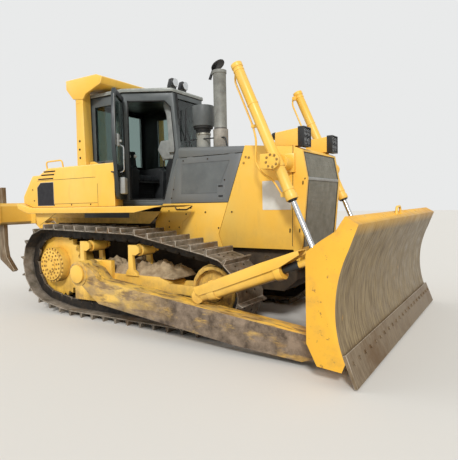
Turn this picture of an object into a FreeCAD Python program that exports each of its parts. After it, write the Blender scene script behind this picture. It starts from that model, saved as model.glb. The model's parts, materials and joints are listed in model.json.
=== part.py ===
import FreeCAD, Part
import math
import os
import Sketcher

# Crawler bulldozer, in millimetres
# +X points forward, +Y to the machine's left and +Z up; the floor is at Z = 0.
# Stations along X are measured from the sprocket axle, and every piece is then
# shifted so that the origin lies midway between the blade and the ripper.

SIZES = {
    # Undercarriage
    "track_gauge": 2000,
    "shoe_width": 560,
    "shoe_count": 38,
    "sprocket_height": 668,
    "sprocket_teeth": 27,
    "idler_reach": 2775,
    "idler_pin_radius": 376,
    "grouser_reach": 126,
    "grouser_thickness": 22,
    "plate_rise": 49,
    "plate_thickness": 14,
    "rail_drop": 64,
    "track_phase": 0.17,
    "rail_width": 44,
    "rail_spread": 92,
    "roller_radius": 92,
    "roller_count": 6,
    "roller_first": 560,
    "roller_last": 2240,
    "carrier_radius": 78,
    "carrier_rear": 760,
    "carrier_front": 1660,
    "carrier_front_height": 943,
    "frame_rear": 560,
    "frame_nose": 2180,
    "frame_bottom": 388,
    "frame_top": 630,
    "frame_width": 330,
    "guard_thickness": 22,
    "guard_drop": 165,
    "yoke_height": 110,
    "yoke_thickness": 45,
    "roller_play": 0.3,
    "carrier_play": 8,
    "heel_setback": 130,
    "pin_play": 0.08,
    "wheel_side_count": 24,
    "drum_side_count": 16,
    "shaft_side_count": 10,
    # Main frame and power train
    "hull_width": 940,
    "hull_bottom": 452,
    "hull_top": 960,
    "hull_setback": 180,
    "case_width": 1290,
    "case_rear": 500,
    "case_front": 420,
    "case_top": 1330,
    "axle_case_radius": 300,
    "axle_hub_radius": 250,
    "axle_cap_radius": 105,
    "axle_cap_reach": 213,
    "pivot_shaft_reach": 980,
    "pivot_shaft_height": 520,
    "pivot_shaft_radius": 80,
    "equalizer_reach": 2010,
    "equalizer_height": 560,
    "equalizer_size": 150,
    "gearbox_width": 740,
    "gearbox_top": 1300,
    "engine_rear": 1950,
    "engine_setback": 620,
    "engine_width": 700,
    "engine_top": 1960,
    # Hood and radiator guard
    "hood_rear": 1880,
    "hood_length": 1020,
    "hood_width": 1100,
    "hood_rear_top": 2262,
    "hood_front_top": 2200,
    "hood_crease_drop": 150,
    "hood_chamfer": 60,
    "hood_bottom": 1525,
    "cowl_rear": 1600,
    "cowl_lean": 260,
    "cowl_strip": 130,
    "skirt_rear": 1450,
    "skirt_height": 1270,
    "hood_wall": 14,
    "seam": 8,
    "guard_foot_setback": 400,
    "guard_foot_height": 1120,
    "guard_toe_setback": 120,
    "guard_toe_height": 760,
    "guard_length": 800,
    "guard_tuck": 73,
    "guard_bend_height": 1770,
    "guard_lip_setback": 60,
    "guard_lip_height": 2095,
    "guard_wall": 20,
    "grille_margin": 36,
    "grille_depth": 30,
    "grille_slat": 10,
    "grille_slat_count": 18,
    "grille_foot_height": 985,
    "lamp_box_setback": 403,
    "lamp_box_length": 340,
    "lamp_box_width": 184,
    "lamp_box_height": 205,
    "lamp_box_offset": 458,
    # Cab
    "cab_rear": 130,
    "cab_corner": 1060,
    "cab_width": 1400,
    "cab_floor": 1500,
    "cab_sill": 1575,
    "cab_head": 2985,
    "cab_top": 3050,
    "cab_wall": 50,
    "facet_length": 750,
    "facet_angle": 31.4,
    "rake_foot_height": 2190,
    "rake": 62,
    "roof_thickness": 60,
    "roof_overhang": 30,
    "window_sill": 2150,
    "post_width": 60,
    "glass_thickness": 8,
    "glass_play": 0.3,
    "door_thickness": 42,
    "door_gap": 6,
    "door_open": 86.4,
    "door_hinge_radius": 16,
    "door_pin_radius": 8,
    "door_rail": 70,
    "door_waist": 1990,
    "door_foot_cut": 170,
    "door_knee": 2260,
    "seat_reach": 620,
    "seat_width": 500,
    "seat_top": 2010,
    "console_width": 210,
    # Roll-over bar
    "rops_rear": 107,
    "rops_front": 850,
    "rops_top": 3325,
    "rops_width": 1770,
    "rops_post_rear": 285,
    "rops_post_front": 455,
    "rops_post_thickness": 145,
    "rops_end": 45,
    # Air and exhaust
    "exhaust_setback": 440,
    "exhaust_side": 400,
    "exhaust_radius": 84,
    "exhaust_top": 3190,
    "cleaner_setback": 710,
    "cleaner_radius": 142,
    "cleaner_bottom": 2515,
    "cleaner_height": 262,
    "cleaner_skirt": 60,
    "cleaner_neck": 92,
    "flap_thickness": 12,
    "flap_open": 36,
    # Fenders and tanks
    "fender_width": 1250,
    "fender_inner": 660,
    "fender_rear": 660,
    "fender_front": 1720,
    "fender_top": 1495,
    "fender_depth": 80,
    "tank_side": 1200,
    "tank_top": 2055,
    "tank_rear": 560,
    "tank_gap": 55,
    "rear_tank_rear": 800,
    # Blade
    "blade_width": 3720,
    "blade_back": 4218,
    "blade_crest": 4660,
    "blade_crest_height": 1324,
    "blade_lip_height": 1388,
    "blade_belly": 4455,
    "blade_plate": 28,
    "blade_foot": 4548,
    "blade_foot_height": 205,
    "blade_radius": 1150,
    "edge_tip_height": 12,
    "edge_thickness": 32,
    "edge_overlap": 70,
    "edge_seat": 2.6,
    "rib_thickness": 30,
    "rib_count": 8,
    "side_plate": 45,
    # Push arms and blade cylinders
    "arm_pivot_reach": 1080,
    "arm_pivot_height": 670,
    "arm_gap": 70,
    "arm_width": 250,
    "arm_pin_radius": 75,
    "arm_eye_radius": 155,
    "arm_depth": 280,
    "arm_toe_height": 300,
    "lift_side": 845,
    "lift_pivot_reach": 3468,
    "lift_pivot_height": 1950,
    "lift_eye_reach": 4022,
    "lift_eye_height": 680,
    "lift_bore_radius": 60,
    "lift_rod_radius": 32,
    "lift_above": 1225,
    "lift_below": 455,
    "lift_trunnion_radius": 45,
    "lift_eye_radius": 70,
    "lift_eye_width": 90,
    "lift_ear_gap": 120,
    "lift_ear": 35,
    "tilt_foot_reach": 2850,
    "tilt_foot_radius": 75,
    "tilt_head_radius": 60,
    "tilt_head_height": 990,
    # Ripper
    "rip_pivot_reach": 700,
    "rip_pivot_height": 800,
    "rip_spacing": 400,
    "rip_link_run": 640,
    "rip_link_rise": 480,
    "rip_link_side": 430,
    "rip_beam_width": 2200,
    "rip_beam_depth": 330,
    "rip_beam_height": 360,
    "rip_beam_set": 60,
    "rip_end_lip": 18,
    "rip_pin_radius": 30,
    "rip_bore_radius": 62,
    "rip_rod_radius": 32,
    "rip_cylinder_side": 180,
    "rip_cylinder_reach": 600,
    "rip_cross_share": 0.82,
    "rip_cross_radius": 34,
    "rip_eye_radius": 72,
    "rip_eye_play": 18,
    "rip_cylinder_height": 1235,
    "shank_count": 3,
    "shank_pitch": 950,
    "shank_width": 75,
    "shank_depth": 200,
    "shank_rise": 260,
    "shank_drop": 760,
    "shank_point": 330,
}


class Size:
    """A number kept together with the sheet formula that gives it."""

    def __init__(self, number, formula):
        self.number = float(number)
        self.formula = formula

    def __float__(self):
        return self.number

    def __add__(self, other):
        return joined(self, other, "+", self.number + float(other))

    def __radd__(self, other):
        return joined(other, self, "+", float(other) + self.number)

    def __sub__(self, other):
        return joined(self, other, "-", self.number - float(other))

    def __rsub__(self, other):
        return joined(other, self, "-", float(other) - self.number)

    def __mul__(self, other):
        return joined(self, other, "*", self.number * float(other))

    def __rmul__(self, other):
        return joined(other, self, "*", float(other) * self.number)

    def __truediv__(self, other):
        return joined(self, other, "/", self.number / float(other))

    def __rtruediv__(self, other):
        return joined(other, self, "/", float(other) / self.number)

    def __neg__(self):
        return Size(-self.number, "(0 - %s)" % self.formula)


def formula(value):
    """The text of a size, or of a plain number."""
    return value.formula if isinstance(value, Size) else repr(float(value))


def joined(first, second, sign, number):
    return Size(number, "(%s %s %s)" % (formula(first), sign, formula(second)))


def cosine(angle):
    return Size(math.cos(math.radians(float(angle))), "cos(%s)" % formula(angle))


def sine(angle):
    return Size(math.sin(math.radians(float(angle))), "sin(%s)" % formula(angle))


def slope_angle(rise, run):
    """The angle, in degrees, whose tangent is rise over run."""
    number = math.degrees(math.atan2(float(rise), float(run)))
    return Size(number, "atan2(%s; %s)" % (formula(rise), formula(run)))


class Sheet:
    """The driving sizes, each readable as sizes.name."""

    def __init__(self, doc, table):
        sheet = doc.addObject("Spreadsheet::Sheet", "sizes")
        for row, (name, number) in enumerate(table.items(), start=1):
            sheet.set("A%d" % row, name)
            sheet.set("B%d" % row, str(number))
            sheet.setAlias("B%d" % row, name)
            setattr(self, name, Size(number, "sizes.%s" % name))


DOC = FreeCAD.newDocument("bulldozer")
S = Sheet(DOC, SIZES)
DOC.recompute()
NODES = []


# Small tools for building pieces

def bind(obj, prop, value):
    """Give a property its number, and its formula where it comes from the sheet."""
    if isinstance(value, Size):
        obj.setExpression(prop, value.formula)


def place(obj, x=0, y=0, z=0, axis=None, angle=0):
    """Set an object's place and turn from sizes."""
    turn = FreeCAD.Rotation()
    if axis:
        turn = FreeCAD.Rotation(FreeCAD.Vector(*axis), float(angle))
    obj.Placement = FreeCAD.Placement(FreeCAD.Vector(float(x), float(y), float(z)), turn)
    bind(obj, "Placement.Base.x", x)
    bind(obj, "Placement.Base.y", y)
    bind(obj, "Placement.Base.z", z)
    if axis:
        bind(obj, "Placement.Rotation.Angle", angle)
    return obj


def box(x0, x1, y0, y1, z0, z1):
    """A block between two stations on each axis."""
    obj = DOC.addObject("Part::Box", "block")
    for prop, low, high in (("Length", x0, x1), ("Width", y0, y1), ("Height", z0, z1)):
        size = high - low
        setattr(obj, prop, float(size))
        bind(obj, prop, size)
    return place(obj, x0, y0, z0)


AXIS_TURNS = {"x": ((0, 1, 0), 90), "y": ((1, 0, 0), -90), "z": (None, 0)}


def rod(axis, x, y, z, radius, length):
    """A cylinder that starts at a point and runs along +X, +Y or +Z."""
    obj = DOC.addObject("Part::Cylinder", "rod")
    obj.Radius = float(radius)
    obj.Height = float(length)
    bind(obj, "Radius", radius)
    bind(obj, "Height", length)
    turn, angle = AXIS_TURNS[axis]
    return place(obj, x, y, z, turn, angle)


def bar(axis, x, y, z, radius, length, sides=None):
    """A many-sided bar: a turned piece that turns on nothing here, or is too small for more."""
    obj = DOC.addObject("Part::Prism", "bar")
    sides = S.shaft_side_count if sides is None else sides
    obj.Polygon = int(float(sides))
    obj.Circumradius = float(radius)
    obj.Height = float(length)
    bind(obj, "Polygon", sides)
    bind(obj, "Circumradius", radius)
    bind(obj, "Height", length)
    turn, angle = AXIS_TURNS[axis]
    return place(obj, x, y, z, turn, angle)


def bar_hole(axis, x, y, z, radius, length, sides=None):
    """A many-sided hole whose flats clear a radius."""
    sides = S.shaft_side_count if sides is None else sides
    return bar(axis, x, y, z, radius / cosine(180 / sides), length, sides)


def sketch_on(body, role, points, arcs):
    """A closed outline whose corners, and the radii of whose arcs, come from sizes.

    arcs maps an edge's number to (radius, side): the edge then bends towards
    its left (+1) or its right (-1).
    """
    sketch = body.newObject("Sketcher::SketchObject", "outline")
    plane = [part for part in body.Origin.OriginFeatures if part.Role == role][0]
    sketch.AttachmentSupport = [(plane, "")]
    sketch.MapMode = "FlatFace"
    flat = [(float(x), float(y)) for x, y in points]
    count = len(flat)
    geometry = []
    starts = []
    for index in range(count):
        start = FreeCAD.Vector(*flat[index], 0)
        end = FreeCAD.Vector(*flat[(index + 1) % count], 0)
        if index in arcs:
            radius, side = arcs[index]
            chord = end - start
            half = chord.Length / 2
            sag = float(radius) - math.sqrt(float(radius) ** 2 - half ** 2)
            left = FreeCAD.Vector(-chord.y, chord.x, 0).normalize()
            middle = (start + end) * 0.5 + left * (sag * side)
            if side > 0:
                geometry.append(Part.Arc(end, middle, start))
                starts.append((2, 1))
            else:
                geometry.append(Part.Arc(start, middle, end))
                starts.append((1, 2))
        else:
            geometry.append(Part.LineSegment(start, end))
            starts.append((1, 2))
    sketch.addGeometry(geometry, False)
    rules = []
    formulas = []
    for index in range(count):
        after = (index + 1) % count
        rules.append(Sketcher.Constraint("Coincident", index, starts[index][1], after, starts[after][0]))
    for index, corner in enumerate(points):
        for kind, line, value in (("DistanceX", -2, corner[0]), ("DistanceY", -1, corner[1])):
            if float(value) == 0.0:
                rules.append(Sketcher.Constraint("PointOnObject", index, starts[index][0], line))
                continue
            if isinstance(value, Size):
                formulas.append((len(rules), value.formula))
            rules.append(Sketcher.Constraint(kind, -1, 1, index, starts[index][0], float(value)))
    for index, (radius, side) in arcs.items():
        if isinstance(radius, Size):
            formulas.append((len(rules), radius.formula))
        rules.append(Sketcher.Constraint("Radius", index, float(radius)))
    sketch.addConstraint(rules)
    for number, text in formulas:
        sketch.setExpression("Constraints[%d]" % number, text)
    return sketch


ROLES = {"side": "XZ_Plane", "plan": "XY_Plane", "cross": "YZ_Plane"}


def prism(view, points, start, end, arcs=None):
    """An outline drawn in a view and given depth.

    side: (x, z) points, from y = start to y = end
    plan: (x, y) points, from z = start to z = end
    cross: (y, z) points, from x = start to x = end
    """
    body = DOC.addObject("PartDesign::Body", "body")
    pad = body.newObject("PartDesign::Pad", "depth")
    pad.Profile = sketch_on(body, ROLES[view], points, arcs or {})
    length = end - start
    pad.Length = float(length)
    bind(pad, "Length", length)
    if view == "side":
        return place(body, 0, end, 0)
    if view == "plan":
        return place(body, 0, 0, start)
    return place(body, start, 0, 0)


def turned(points, arcs=None):
    """A wheel or knob: (radius, along) points turned about the local Z axis."""
    body = DOC.addObject("PartDesign::Body", "body")
    spin = body.newObject("PartDesign::Revolution", "turn")
    spin.Profile = sketch_on(body, "XZ_Plane", points, arcs or {})
    axis = [part for part in body.Origin.OriginFeatures if part.Role == "Z_Axis"][0]
    spin.ReferenceAxis = (axis, [""])
    spin.Angle = 360
    return body


def fuse(*pieces):
    obj = DOC.addObject("Part::MultiFuse", "joined")
    obj.Shapes = list(pieces)
    return obj


def cut(base, *tools):
    obj = DOC.addObject("Part::Cut", "cut")
    obj.Base = base
    obj.Tool = tools[0] if len(tools) == 1 else fuse(*tools)
    return obj


def common(first, second):
    obj = DOC.addObject("Part::Common", "common")
    obj.Base = first
    obj.Tool = second
    return obj


def mirrored(piece):
    """The same piece on the other side of the machine."""
    obj = DOC.addObject("Part::Mirroring", "mirror")
    obj.Source = piece
    obj.Base = FreeCAD.Vector(0, 0, 0)
    obj.Normal = FreeCAD.Vector(0, 1, 0)
    return obj


def group(*pieces):
    """Several solids that don't touch, kept as one piece."""
    obj = DOC.addObject("Part::Compound", "group")
    obj.Links = list(pieces)
    return obj


def shaped(shape):
    """A shape worked out in this file, kept as an object of the document."""
    obj = DOC.addObject("Part::Feature", "shape")
    obj.Shape = shape
    return obj


def moved(piece, x=0, y=0, z=0, axis=None, angle=0):
    """A piece drawn about its own origin, set down at its place."""
    holder = group(piece)
    return place(holder, x, y, z, axis, angle)


def node(name, piece):
    """Set a finished piece down in the machine; its label is its file's name too."""
    holder = moved(piece, machine_shift())
    holder.Label = name
    NODES.append((name, holder))


def machine_shift():
    """How far the sprocket axle lies from the middle of the whole machine."""
    return (rear_reach - S.blade_crest) / 2


# Places that several pieces share
side = S.track_gauge / 2
shoe_outer = side + S.shoe_width / 2
arm_inner = shoe_outer + S.arm_gap
arm_outer = arm_inner + S.arm_width
hood_front = S.hood_rear + S.hood_length
guard_bend = hood_front + S.guard_length
guard_lip = guard_bend - S.guard_lip_setback
guard_foot_rear = hood_front - S.guard_foot_setback
hull_front = guard_bend - S.hull_setback
engine_front = guard_bend - S.engine_setback
rail_ground = S.grouser_reach + S.rail_drop
idler_height = S.grouser_reach + S.idler_pin_radius
roller_height = rail_ground + S.roller_radius + S.roller_play
front_x = S.cab_corner + S.facet_length * cosine(S.facet_angle)
front_y = S.cab_width / 2 - S.facet_length * sine(S.facet_angle)
lift_run = S.lift_eye_reach - S.lift_pivot_reach
lift_fall = S.lift_pivot_height - S.lift_eye_height
lift_lean = slope_angle(lift_run, -lift_fall)
beam_pivot_x = -S.rip_pivot_reach - S.rip_link_run
beam_pivot_z = S.rip_pivot_height + S.rip_link_rise
rear_reach = S.rip_pivot_reach + S.rip_link_run + S.rip_beam_set + S.rip_beam_depth + S.rip_end_lip


# Track loop

def belt(circles):
    """Arc and line pieces of a belt led clockwise round circles (x, z, radius)."""
    tangents = []
    for (x0, z0, r0), (x1, z1, r1) in zip(circles, circles[1:] + circles[:1]):
        span = math.hypot(x1 - x0, z1 - z0)
        along = math.atan2(z1 - z0, x1 - x0)
        lift = along + math.pi / 2 + math.asin((r1 - r0) / span)
        tangents.append(lift)
    stretches = []
    for index, (x, z, radius) in enumerate(circles):
        arrive = tangents[index - 1]
        leave = tangents[index]
        turn = (arrive - leave) % (2 * math.pi)
        stretches.append(("arc", (x, z, radius, arrive, turn)))
        x1, z1, r1 = circles[(index + 1) % len(circles)]
        start = (x + radius * math.cos(leave), z + radius * math.sin(leave))
        end = (x1 + r1 * math.cos(leave), z1 + r1 * math.sin(leave))
        stretches.append(("line", (start, end)))
    return stretches


def stretch_length(stretch):
    kind, data = stretch
    if kind == "arc":
        return data[2] * data[4]
    (x0, z0), (x1, z1) = data
    return math.hypot(x1 - x0, z1 - z0)


def belt_point(stretches, distance):
    """The point at a distance along the belt."""
    total = sum(stretch_length(stretch) for stretch in stretches)
    distance = distance % total
    for kind, data in stretches:
        length = stretch_length((kind, data))
        if distance <= length:
            break
        distance -= length
    if kind == "arc":
        x, z, radius, arrive, _ = data
        angle = arrive - distance / radius
        return x + radius * math.cos(angle), z + radius * math.sin(angle)
    (x0, z0), (x1, z1) = data
    share = distance / length
    return x0 + (x1 - x0) * share, z0 + (z1 - z0) * share


def belt_pins(stretches, pitch, count):
    """Pins a chord apart along the belt, and how far the last falls past the first."""
    total = sum(stretch_length(stretch) for stretch in stretches)
    place_on = start = pitch * float(S.track_phase)
    pins = [belt_point(stretches, place_on)]
    for _ in range(count):
        step = pitch
        for _ in range(6):
            x, z = belt_point(stretches, place_on + step)
            step += pitch - math.hypot(x - pins[-1][0], z - pins[-1][1])
        place_on += step
        pins.append(belt_point(stretches, place_on))
    return pins[:-1], place_on - start - total


def track_pins():
    """The pitch at which the links close round the wheels, and every pin's place."""
    count = int(float(S.shoe_count))
    pins_per_turn = float(S.sprocket_teeth) / 2
    low, high = 150.0, 300.0
    for _ in range(40):
        pitch = (low + high) / 2
        radius = pitch / (2 * math.sin(math.pi / pins_per_turn))
        circles = [
            (0.0, float(S.sprocket_height), radius),
            (float(S.carrier_front), float(S.carrier_front_height),
             float(S.carrier_radius + S.rail_drop + S.carrier_play)),
            (float(S.idler_reach), float(idler_height), float(S.idler_pin_radius)),
            (float(S.roller_first - S.heel_setback), float(rail_ground), float(S.rail_drop)),
        ]
        stretches = belt(circles)
        pins, over = belt_pins(stretches, pitch, count)
        if over > 0:
            high = pitch
        else:
            low = pitch
    return pitch, radius, pins


LINK_PITCH, SPROCKET_PIN_RADIUS, PINS = track_pins()


def on_link(index, along, out):
    """A point on a link: a share of the pitch from its first pin, and a height outwards."""
    x0, z0 = PINS[index % len(PINS)]
    x1, z1 = PINS[(index + 1) % len(PINS)]
    pitch = math.hypot(x1 - x0, z1 - z0)
    ux, uz = (x1 - x0) / pitch, (z1 - z0) / pitch
    return x0 + ux * pitch * along - uz * out, z0 + uz * pitch * along + ux * out


def ring_prism(outer, inner, y0, y1):
    """A closed band between two outlines in the side view, from y0 to y1."""
    loops = []
    for points in (outer, inner):
        corners = [FreeCAD.Vector(x, y0, z) for x, z in points]
        loops.append(Part.makePolygon(corners + corners[:1]))
    face = Part.makeFace(loops, "Part::FaceMakerBullseye")
    return face.extrude(FreeCAD.Vector(0, y1 - y0, 0))


def track_loop():
    """Shoes with their grousers, and two rows of links, as one closed loop."""
    rise = float(S.plate_rise)
    top = rise + float(S.plate_thickness)
    tip = float(S.grouser_reach)
    thick = float(S.grouser_thickness) / LINK_PITCH
    # Shoe outline: share of the pitch, height out from the pin line
    shoe = [(0.04, top), (0.10, top + 6), (0.10 + 0.3 * thick, tip), (0.10 + 1.2 * thick, tip),
            (0.10 + 1.9 * thick, top), (0.97, top)]
    rail = [(0.12, -float(S.rail_drop)), (0.88, -float(S.rail_drop)), (1.0, 4 - float(S.rail_drop) / 2)]
    outer = []
    under = []
    links_outer = []
    links_inner = []
    for index in range(len(PINS)):
        outer += [on_link(index, along, out) for along, out in shoe]
        under += [on_link(index, along, rise) for along in (0.03, 0.97)]
        links_outer += [on_link(index, along, rise + 3) for along in (0.05, 0.95)]
        links_inner += [on_link(index, along, out) for along, out in rail]
    y0 = float(side - S.shoe_width / 2)
    band = ring_prism(outer, under, y0, y0 + float(S.shoe_width))
    half = float(S.rail_width) / 2
    for spread in (-float(S.rail_spread), float(S.rail_spread)):
        middle = float(side) + spread
        band = band.fuse(ring_prism(links_outer, links_inner, middle - half, middle + half))
    return band.removeSplitter()


def tooth_ring():
    """Drive sprocket: a toothed ring on a plain disc, seen between the link rails."""
    teeth = int(float(S.sprocket_teeth))
    # Tooth outline: share of a tooth's turn, radius against the pin circle
    profile = [(0.10, -26), (0.5, 26), (0.90, -26)]
    first = math.atan2(PINS[0][1] - float(S.sprocket_height), PINS[0][0])
    points = []
    for tooth in range(teeth):
        for share, rise in profile:
            angle = first + 2 * math.pi * (tooth + share) / teeth
            radius = SPROCKET_PIN_RADIUS + rise - 6
            points.append((radius * math.cos(angle), float(S.sprocket_height) + radius * math.sin(angle)))
    corners = [FreeCAD.Vector(x, 0, z) for x, z in points]
    half = float(S.rail_spread - S.rail_width / 2) - 30
    ring = Part.Face(Part.makePolygon(corners + corners[:1])).extrude(FreeCAD.Vector(0, 2 * half, 0))
    ring.translate(FreeCAD.Vector(0, float(side) - half, 0))
    return ring, half


RING, RING_HALF = tooth_ring()


def undercarriage():
    loop = shaped(track_loop())
    node("track_left", group(loop))
    node("track_right", group(mirrored(loop)))
    axle_z = S.sprocket_height
    hub_radius = S.axle_hub_radius * 0.6
    ring = cut(shaped(RING), bar("y", 0, side - RING_HALF - 1, axle_z, hub_radius, 2 * RING_HALF + 2))
    node("sprockets", group(ring, mirrored(ring)))
    inner = bar("y", 0, S.case_width / 2, axle_z, S.axle_case_radius, side - RING_HALF - S.case_width / 2,
                S.drum_side_count)
    hub = bar("y", 0, side - RING_HALF, axle_z, hub_radius, 2 * RING_HALF)
    drum = bar("y", 0, side + RING_HALF, axle_z, S.axle_hub_radius, S.axle_cap_reach - RING_HALF - 40,
               S.wheel_side_count)
    step = bar("y", 0, side + RING_HALF, axle_z, S.axle_hub_radius - 28, S.axle_cap_reach - RING_HALF - 16,
               S.wheel_side_count)
    cap = bar("y", 0, side + RING_HALF, axle_z, S.axle_cap_radius, S.axle_cap_reach - RING_HALF,
              S.drum_side_count)
    drive = fuse(inner, hub, drum, step, cap)
    node("final_drives", group(drive, mirrored(drive)))
    idlers()
    rollers()
    track_frames()


def idlers():
    # The rails lie on the tread at the middle of each link, inside the pin circle
    middle = math.sqrt(float(S.idler_pin_radius) ** 2 - (LINK_PITCH / 2) ** 2)
    tread = middle - S.rail_drop - S.roller_play
    half_flange = S.rail_spread - S.rail_width / 2 - 6
    half_tread = S.rail_spread + S.rail_width / 2
    x = S.idler_reach
    sides = S.wheel_side_count
    wheel = bar("y", x, side - half_tread, idler_height, tread, half_tread * 2, sides)
    flange = bar("y", x, side - half_flange, idler_height, tread + 26, half_flange * 2, sides)
    dish = half_tread - half_flange + 20
    web = bar("y", x, side + half_tread - dish, idler_height, tread - 40, dish + 1, S.drum_side_count)
    hub = bar("y", x, side, idler_height, 120, half_tread - 8, S.shaft_side_count)
    shaft = bar("y", x, side - yoke_inner(), idler_height, 45, yoke_inner() * 2, 8)
    idler = fuse(cut(fuse(wheel, flange), web), hub, shaft)
    node("idlers", group(idler, mirrored(idler)))


def yoke_inner():
    return S.frame_width / 2 - S.yoke_thickness


def rollers():
    """Track rollers under the frame, and the two that carry the upper run."""
    count = int(float(S.roller_count))
    step = (S.roller_last - S.roller_first) / (count - 1)
    guard_inner = S.frame_width / 2 - S.guard_thickness
    half_tread = S.rail_spread + S.rail_width / 2
    pieces = []
    for index in range(count):
        x = S.roller_first + step * index
        wheel = bar("y", x, side - half_tread, roller_height, S.roller_radius, half_tread * 2)
        shaft = bar("y", x, side - guard_inner, roller_height, 36, guard_inner * 2, 6)
        pieces.append(fuse(wheel, shaft))
    every = pieces + [mirrored(piece) for piece in pieces]
    node("track_rollers", group(*every))
    pieces = []
    for x, z in carrier_places():
        wheel = bar("y", x, side - half_tread, z, S.carrier_radius, half_tread + half_tread, S.drum_side_count)
        shaft = bar("y", x, side - half_tread - 30, z, 40, half_tread * 2 + 60, 8)
        pieces.append(fuse(wheel, shaft))
    every = pieces + [mirrored(piece) for piece in pieces]
    node("carrier_rollers", group(*every))


def carrier_places():
    """The upper rollers' stations; the rear one meets the run from the sprocket."""
    drop = float(S.rail_drop + S.carrier_radius + S.carrier_play)
    share = float(S.carrier_rear) / float(S.carrier_front)
    front = float(S.carrier_front_height) + drop
    level = float(S.sprocket_height) + SPROCKET_PIN_RADIUS
    rear = level + (front - level) * share - drop
    return [(S.carrier_rear, rear), (S.carrier_front, S.carrier_front_height)]


def track_frames():
    half = S.frame_width / 2
    nose = 160
    beam = prism("side", [(S.frame_rear, S.frame_bottom), (S.frame_nose, S.frame_bottom),
                          (S.frame_nose, S.frame_top - 60), (S.frame_nose - nose, S.frame_top),
                          (S.frame_rear + 60, S.frame_top), (S.frame_rear, S.frame_top - 60)],
                 side - half, side + half)
    guard_z = S.frame_bottom - S.guard_drop
    guard_outline = [(S.roller_first - 80, guard_z), (S.roller_last + 20, guard_z),
                     (S.roller_last + 60, guard_z + 40), (S.roller_last + 60, S.frame_bottom + 30),
                     (S.roller_first - 80, S.frame_bottom + 30)]
    guards = [prism("side", guard_outline, side + half - S.guard_thickness, side + half),
              prism("side", guard_outline, side - half, side - half + S.guard_thickness)]
    yoke_z = idler_height - S.yoke_height / 2
    yokes = []
    for start in (side - half, side + half - S.yoke_thickness):
        yokes.append(box(S.frame_nose - 10, S.idler_reach + 90, start, start + S.yoke_thickness,
                         yoke_z, yoke_z + S.yoke_height))
    stand = []
    half_tread = S.rail_spread + S.rail_width / 2
    for x, z in carrier_places():
        foot = S.frame_top - 10
        # A hook: its shank stands behind the roller and its head reaches over the shaft
        hook = [(x - 175, foot), (x + 40, foot), (x - 35, foot + 75), (x - 48, z - 62), (x + 8, z - 64),
                (x + 64, z - 30), (x + 66, z + 34), (x + 18, z + 66), (x - 118, z + 66), (x - 124, foot + 90)]
        bend = {1: (S.carrier_radius * 2, -1), 9: (S.carrier_radius * 2, -1)}
        for start in (side - half_tread - 75, side + half_tread + 30):
            stand.append(prism("side", hook, start, start + 45, bend))
    bracket = box(S.arm_pivot_reach - 190, S.arm_pivot_reach + 190, side + half - 5, side + half + 60,
                  S.frame_bottom + 20, S.arm_pivot_height + 130)
    pin = bar("y", S.arm_pivot_reach, side + half, S.arm_pivot_height, S.arm_pin_radius,
              arm_outer + 12 - side - half, S.drum_side_count)
    collar = bar("y", S.arm_pivot_reach, side + half, S.arm_pivot_height, S.arm_pin_radius + 45,
                 arm_inner - S.roller_play - side - half, S.drum_side_count)
    cap = bar("y", S.arm_pivot_reach, arm_outer + S.roller_play * 10, S.arm_pivot_height,
              S.arm_pin_radius + 40, 25, S.drum_side_count)
    frame = fuse(beam, bracket, pin, collar, cap, *guards, *yokes, *stand)
    node("track_frames", group(frame, mirrored(frame)))


def main_frame():
    hull = prism("side", [(S.case_front, S.hull_bottom), (hull_front - 160, S.hull_bottom),
                          (hull_front, S.hull_bottom + 140), (hull_front, S.hull_top),
                          (S.case_front, S.hull_top)],
                 -S.hull_width / 2, S.hull_width / 2)
    case = prism("side", [(-S.case_rear, S.hull_bottom + 80), (-S.case_rear + 90, S.hull_bottom - 10),
                          (S.case_front + 5, S.hull_bottom - 10), (S.case_front + 5, S.case_top - 250),
                          (S.case_front - 120, S.case_top), (-S.case_rear, S.case_top)],
                 -S.case_width / 2, S.case_width / 2)
    gearbox = prism("cross", [(-S.gearbox_width / 2, S.hull_top - 5), (S.gearbox_width / 2, S.hull_top - 5),
                              (S.gearbox_width / 2, S.gearbox_top - 70), (S.gearbox_width / 2 - 70, S.gearbox_top),
                              (-S.gearbox_width / 2 + 70, S.gearbox_top), (-S.gearbox_width / 2, S.gearbox_top - 70)],
                    S.case_front - 150, S.hood_rear - 30)
    node("main_frame", fuse(hull, case, gearbox))
    half = S.frame_width / 2
    shaft = bar("y", S.pivot_shaft_reach, S.hull_width / 2, S.pivot_shaft_height, S.pivot_shaft_radius,
                side - half - S.hull_width / 2, S.drum_side_count)
    equalizer = prism("cross", [(S.hull_width / 2, S.equalizer_height - S.equalizer_size / 2),
                          (side - half, S.equalizer_height - S.equalizer_size / 2),
                          (side - half, S.equalizer_height + S.equalizer_size / 3),
                          (S.hull_width / 2, S.equalizer_height + S.equalizer_size / 2)],
                S.equalizer_reach - S.equalizer_size / 2, S.equalizer_reach + S.equalizer_size / 2)
    node("cross_members", group(shaft, mirrored(shaft), equalizer, mirrored(equalizer)))
    node("engine_block", box(S.engine_rear, engine_front, -S.engine_width / 2, S.engine_width / 2,
                             S.hull_top, S.engine_top))


# Hood and radiator guard

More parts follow.
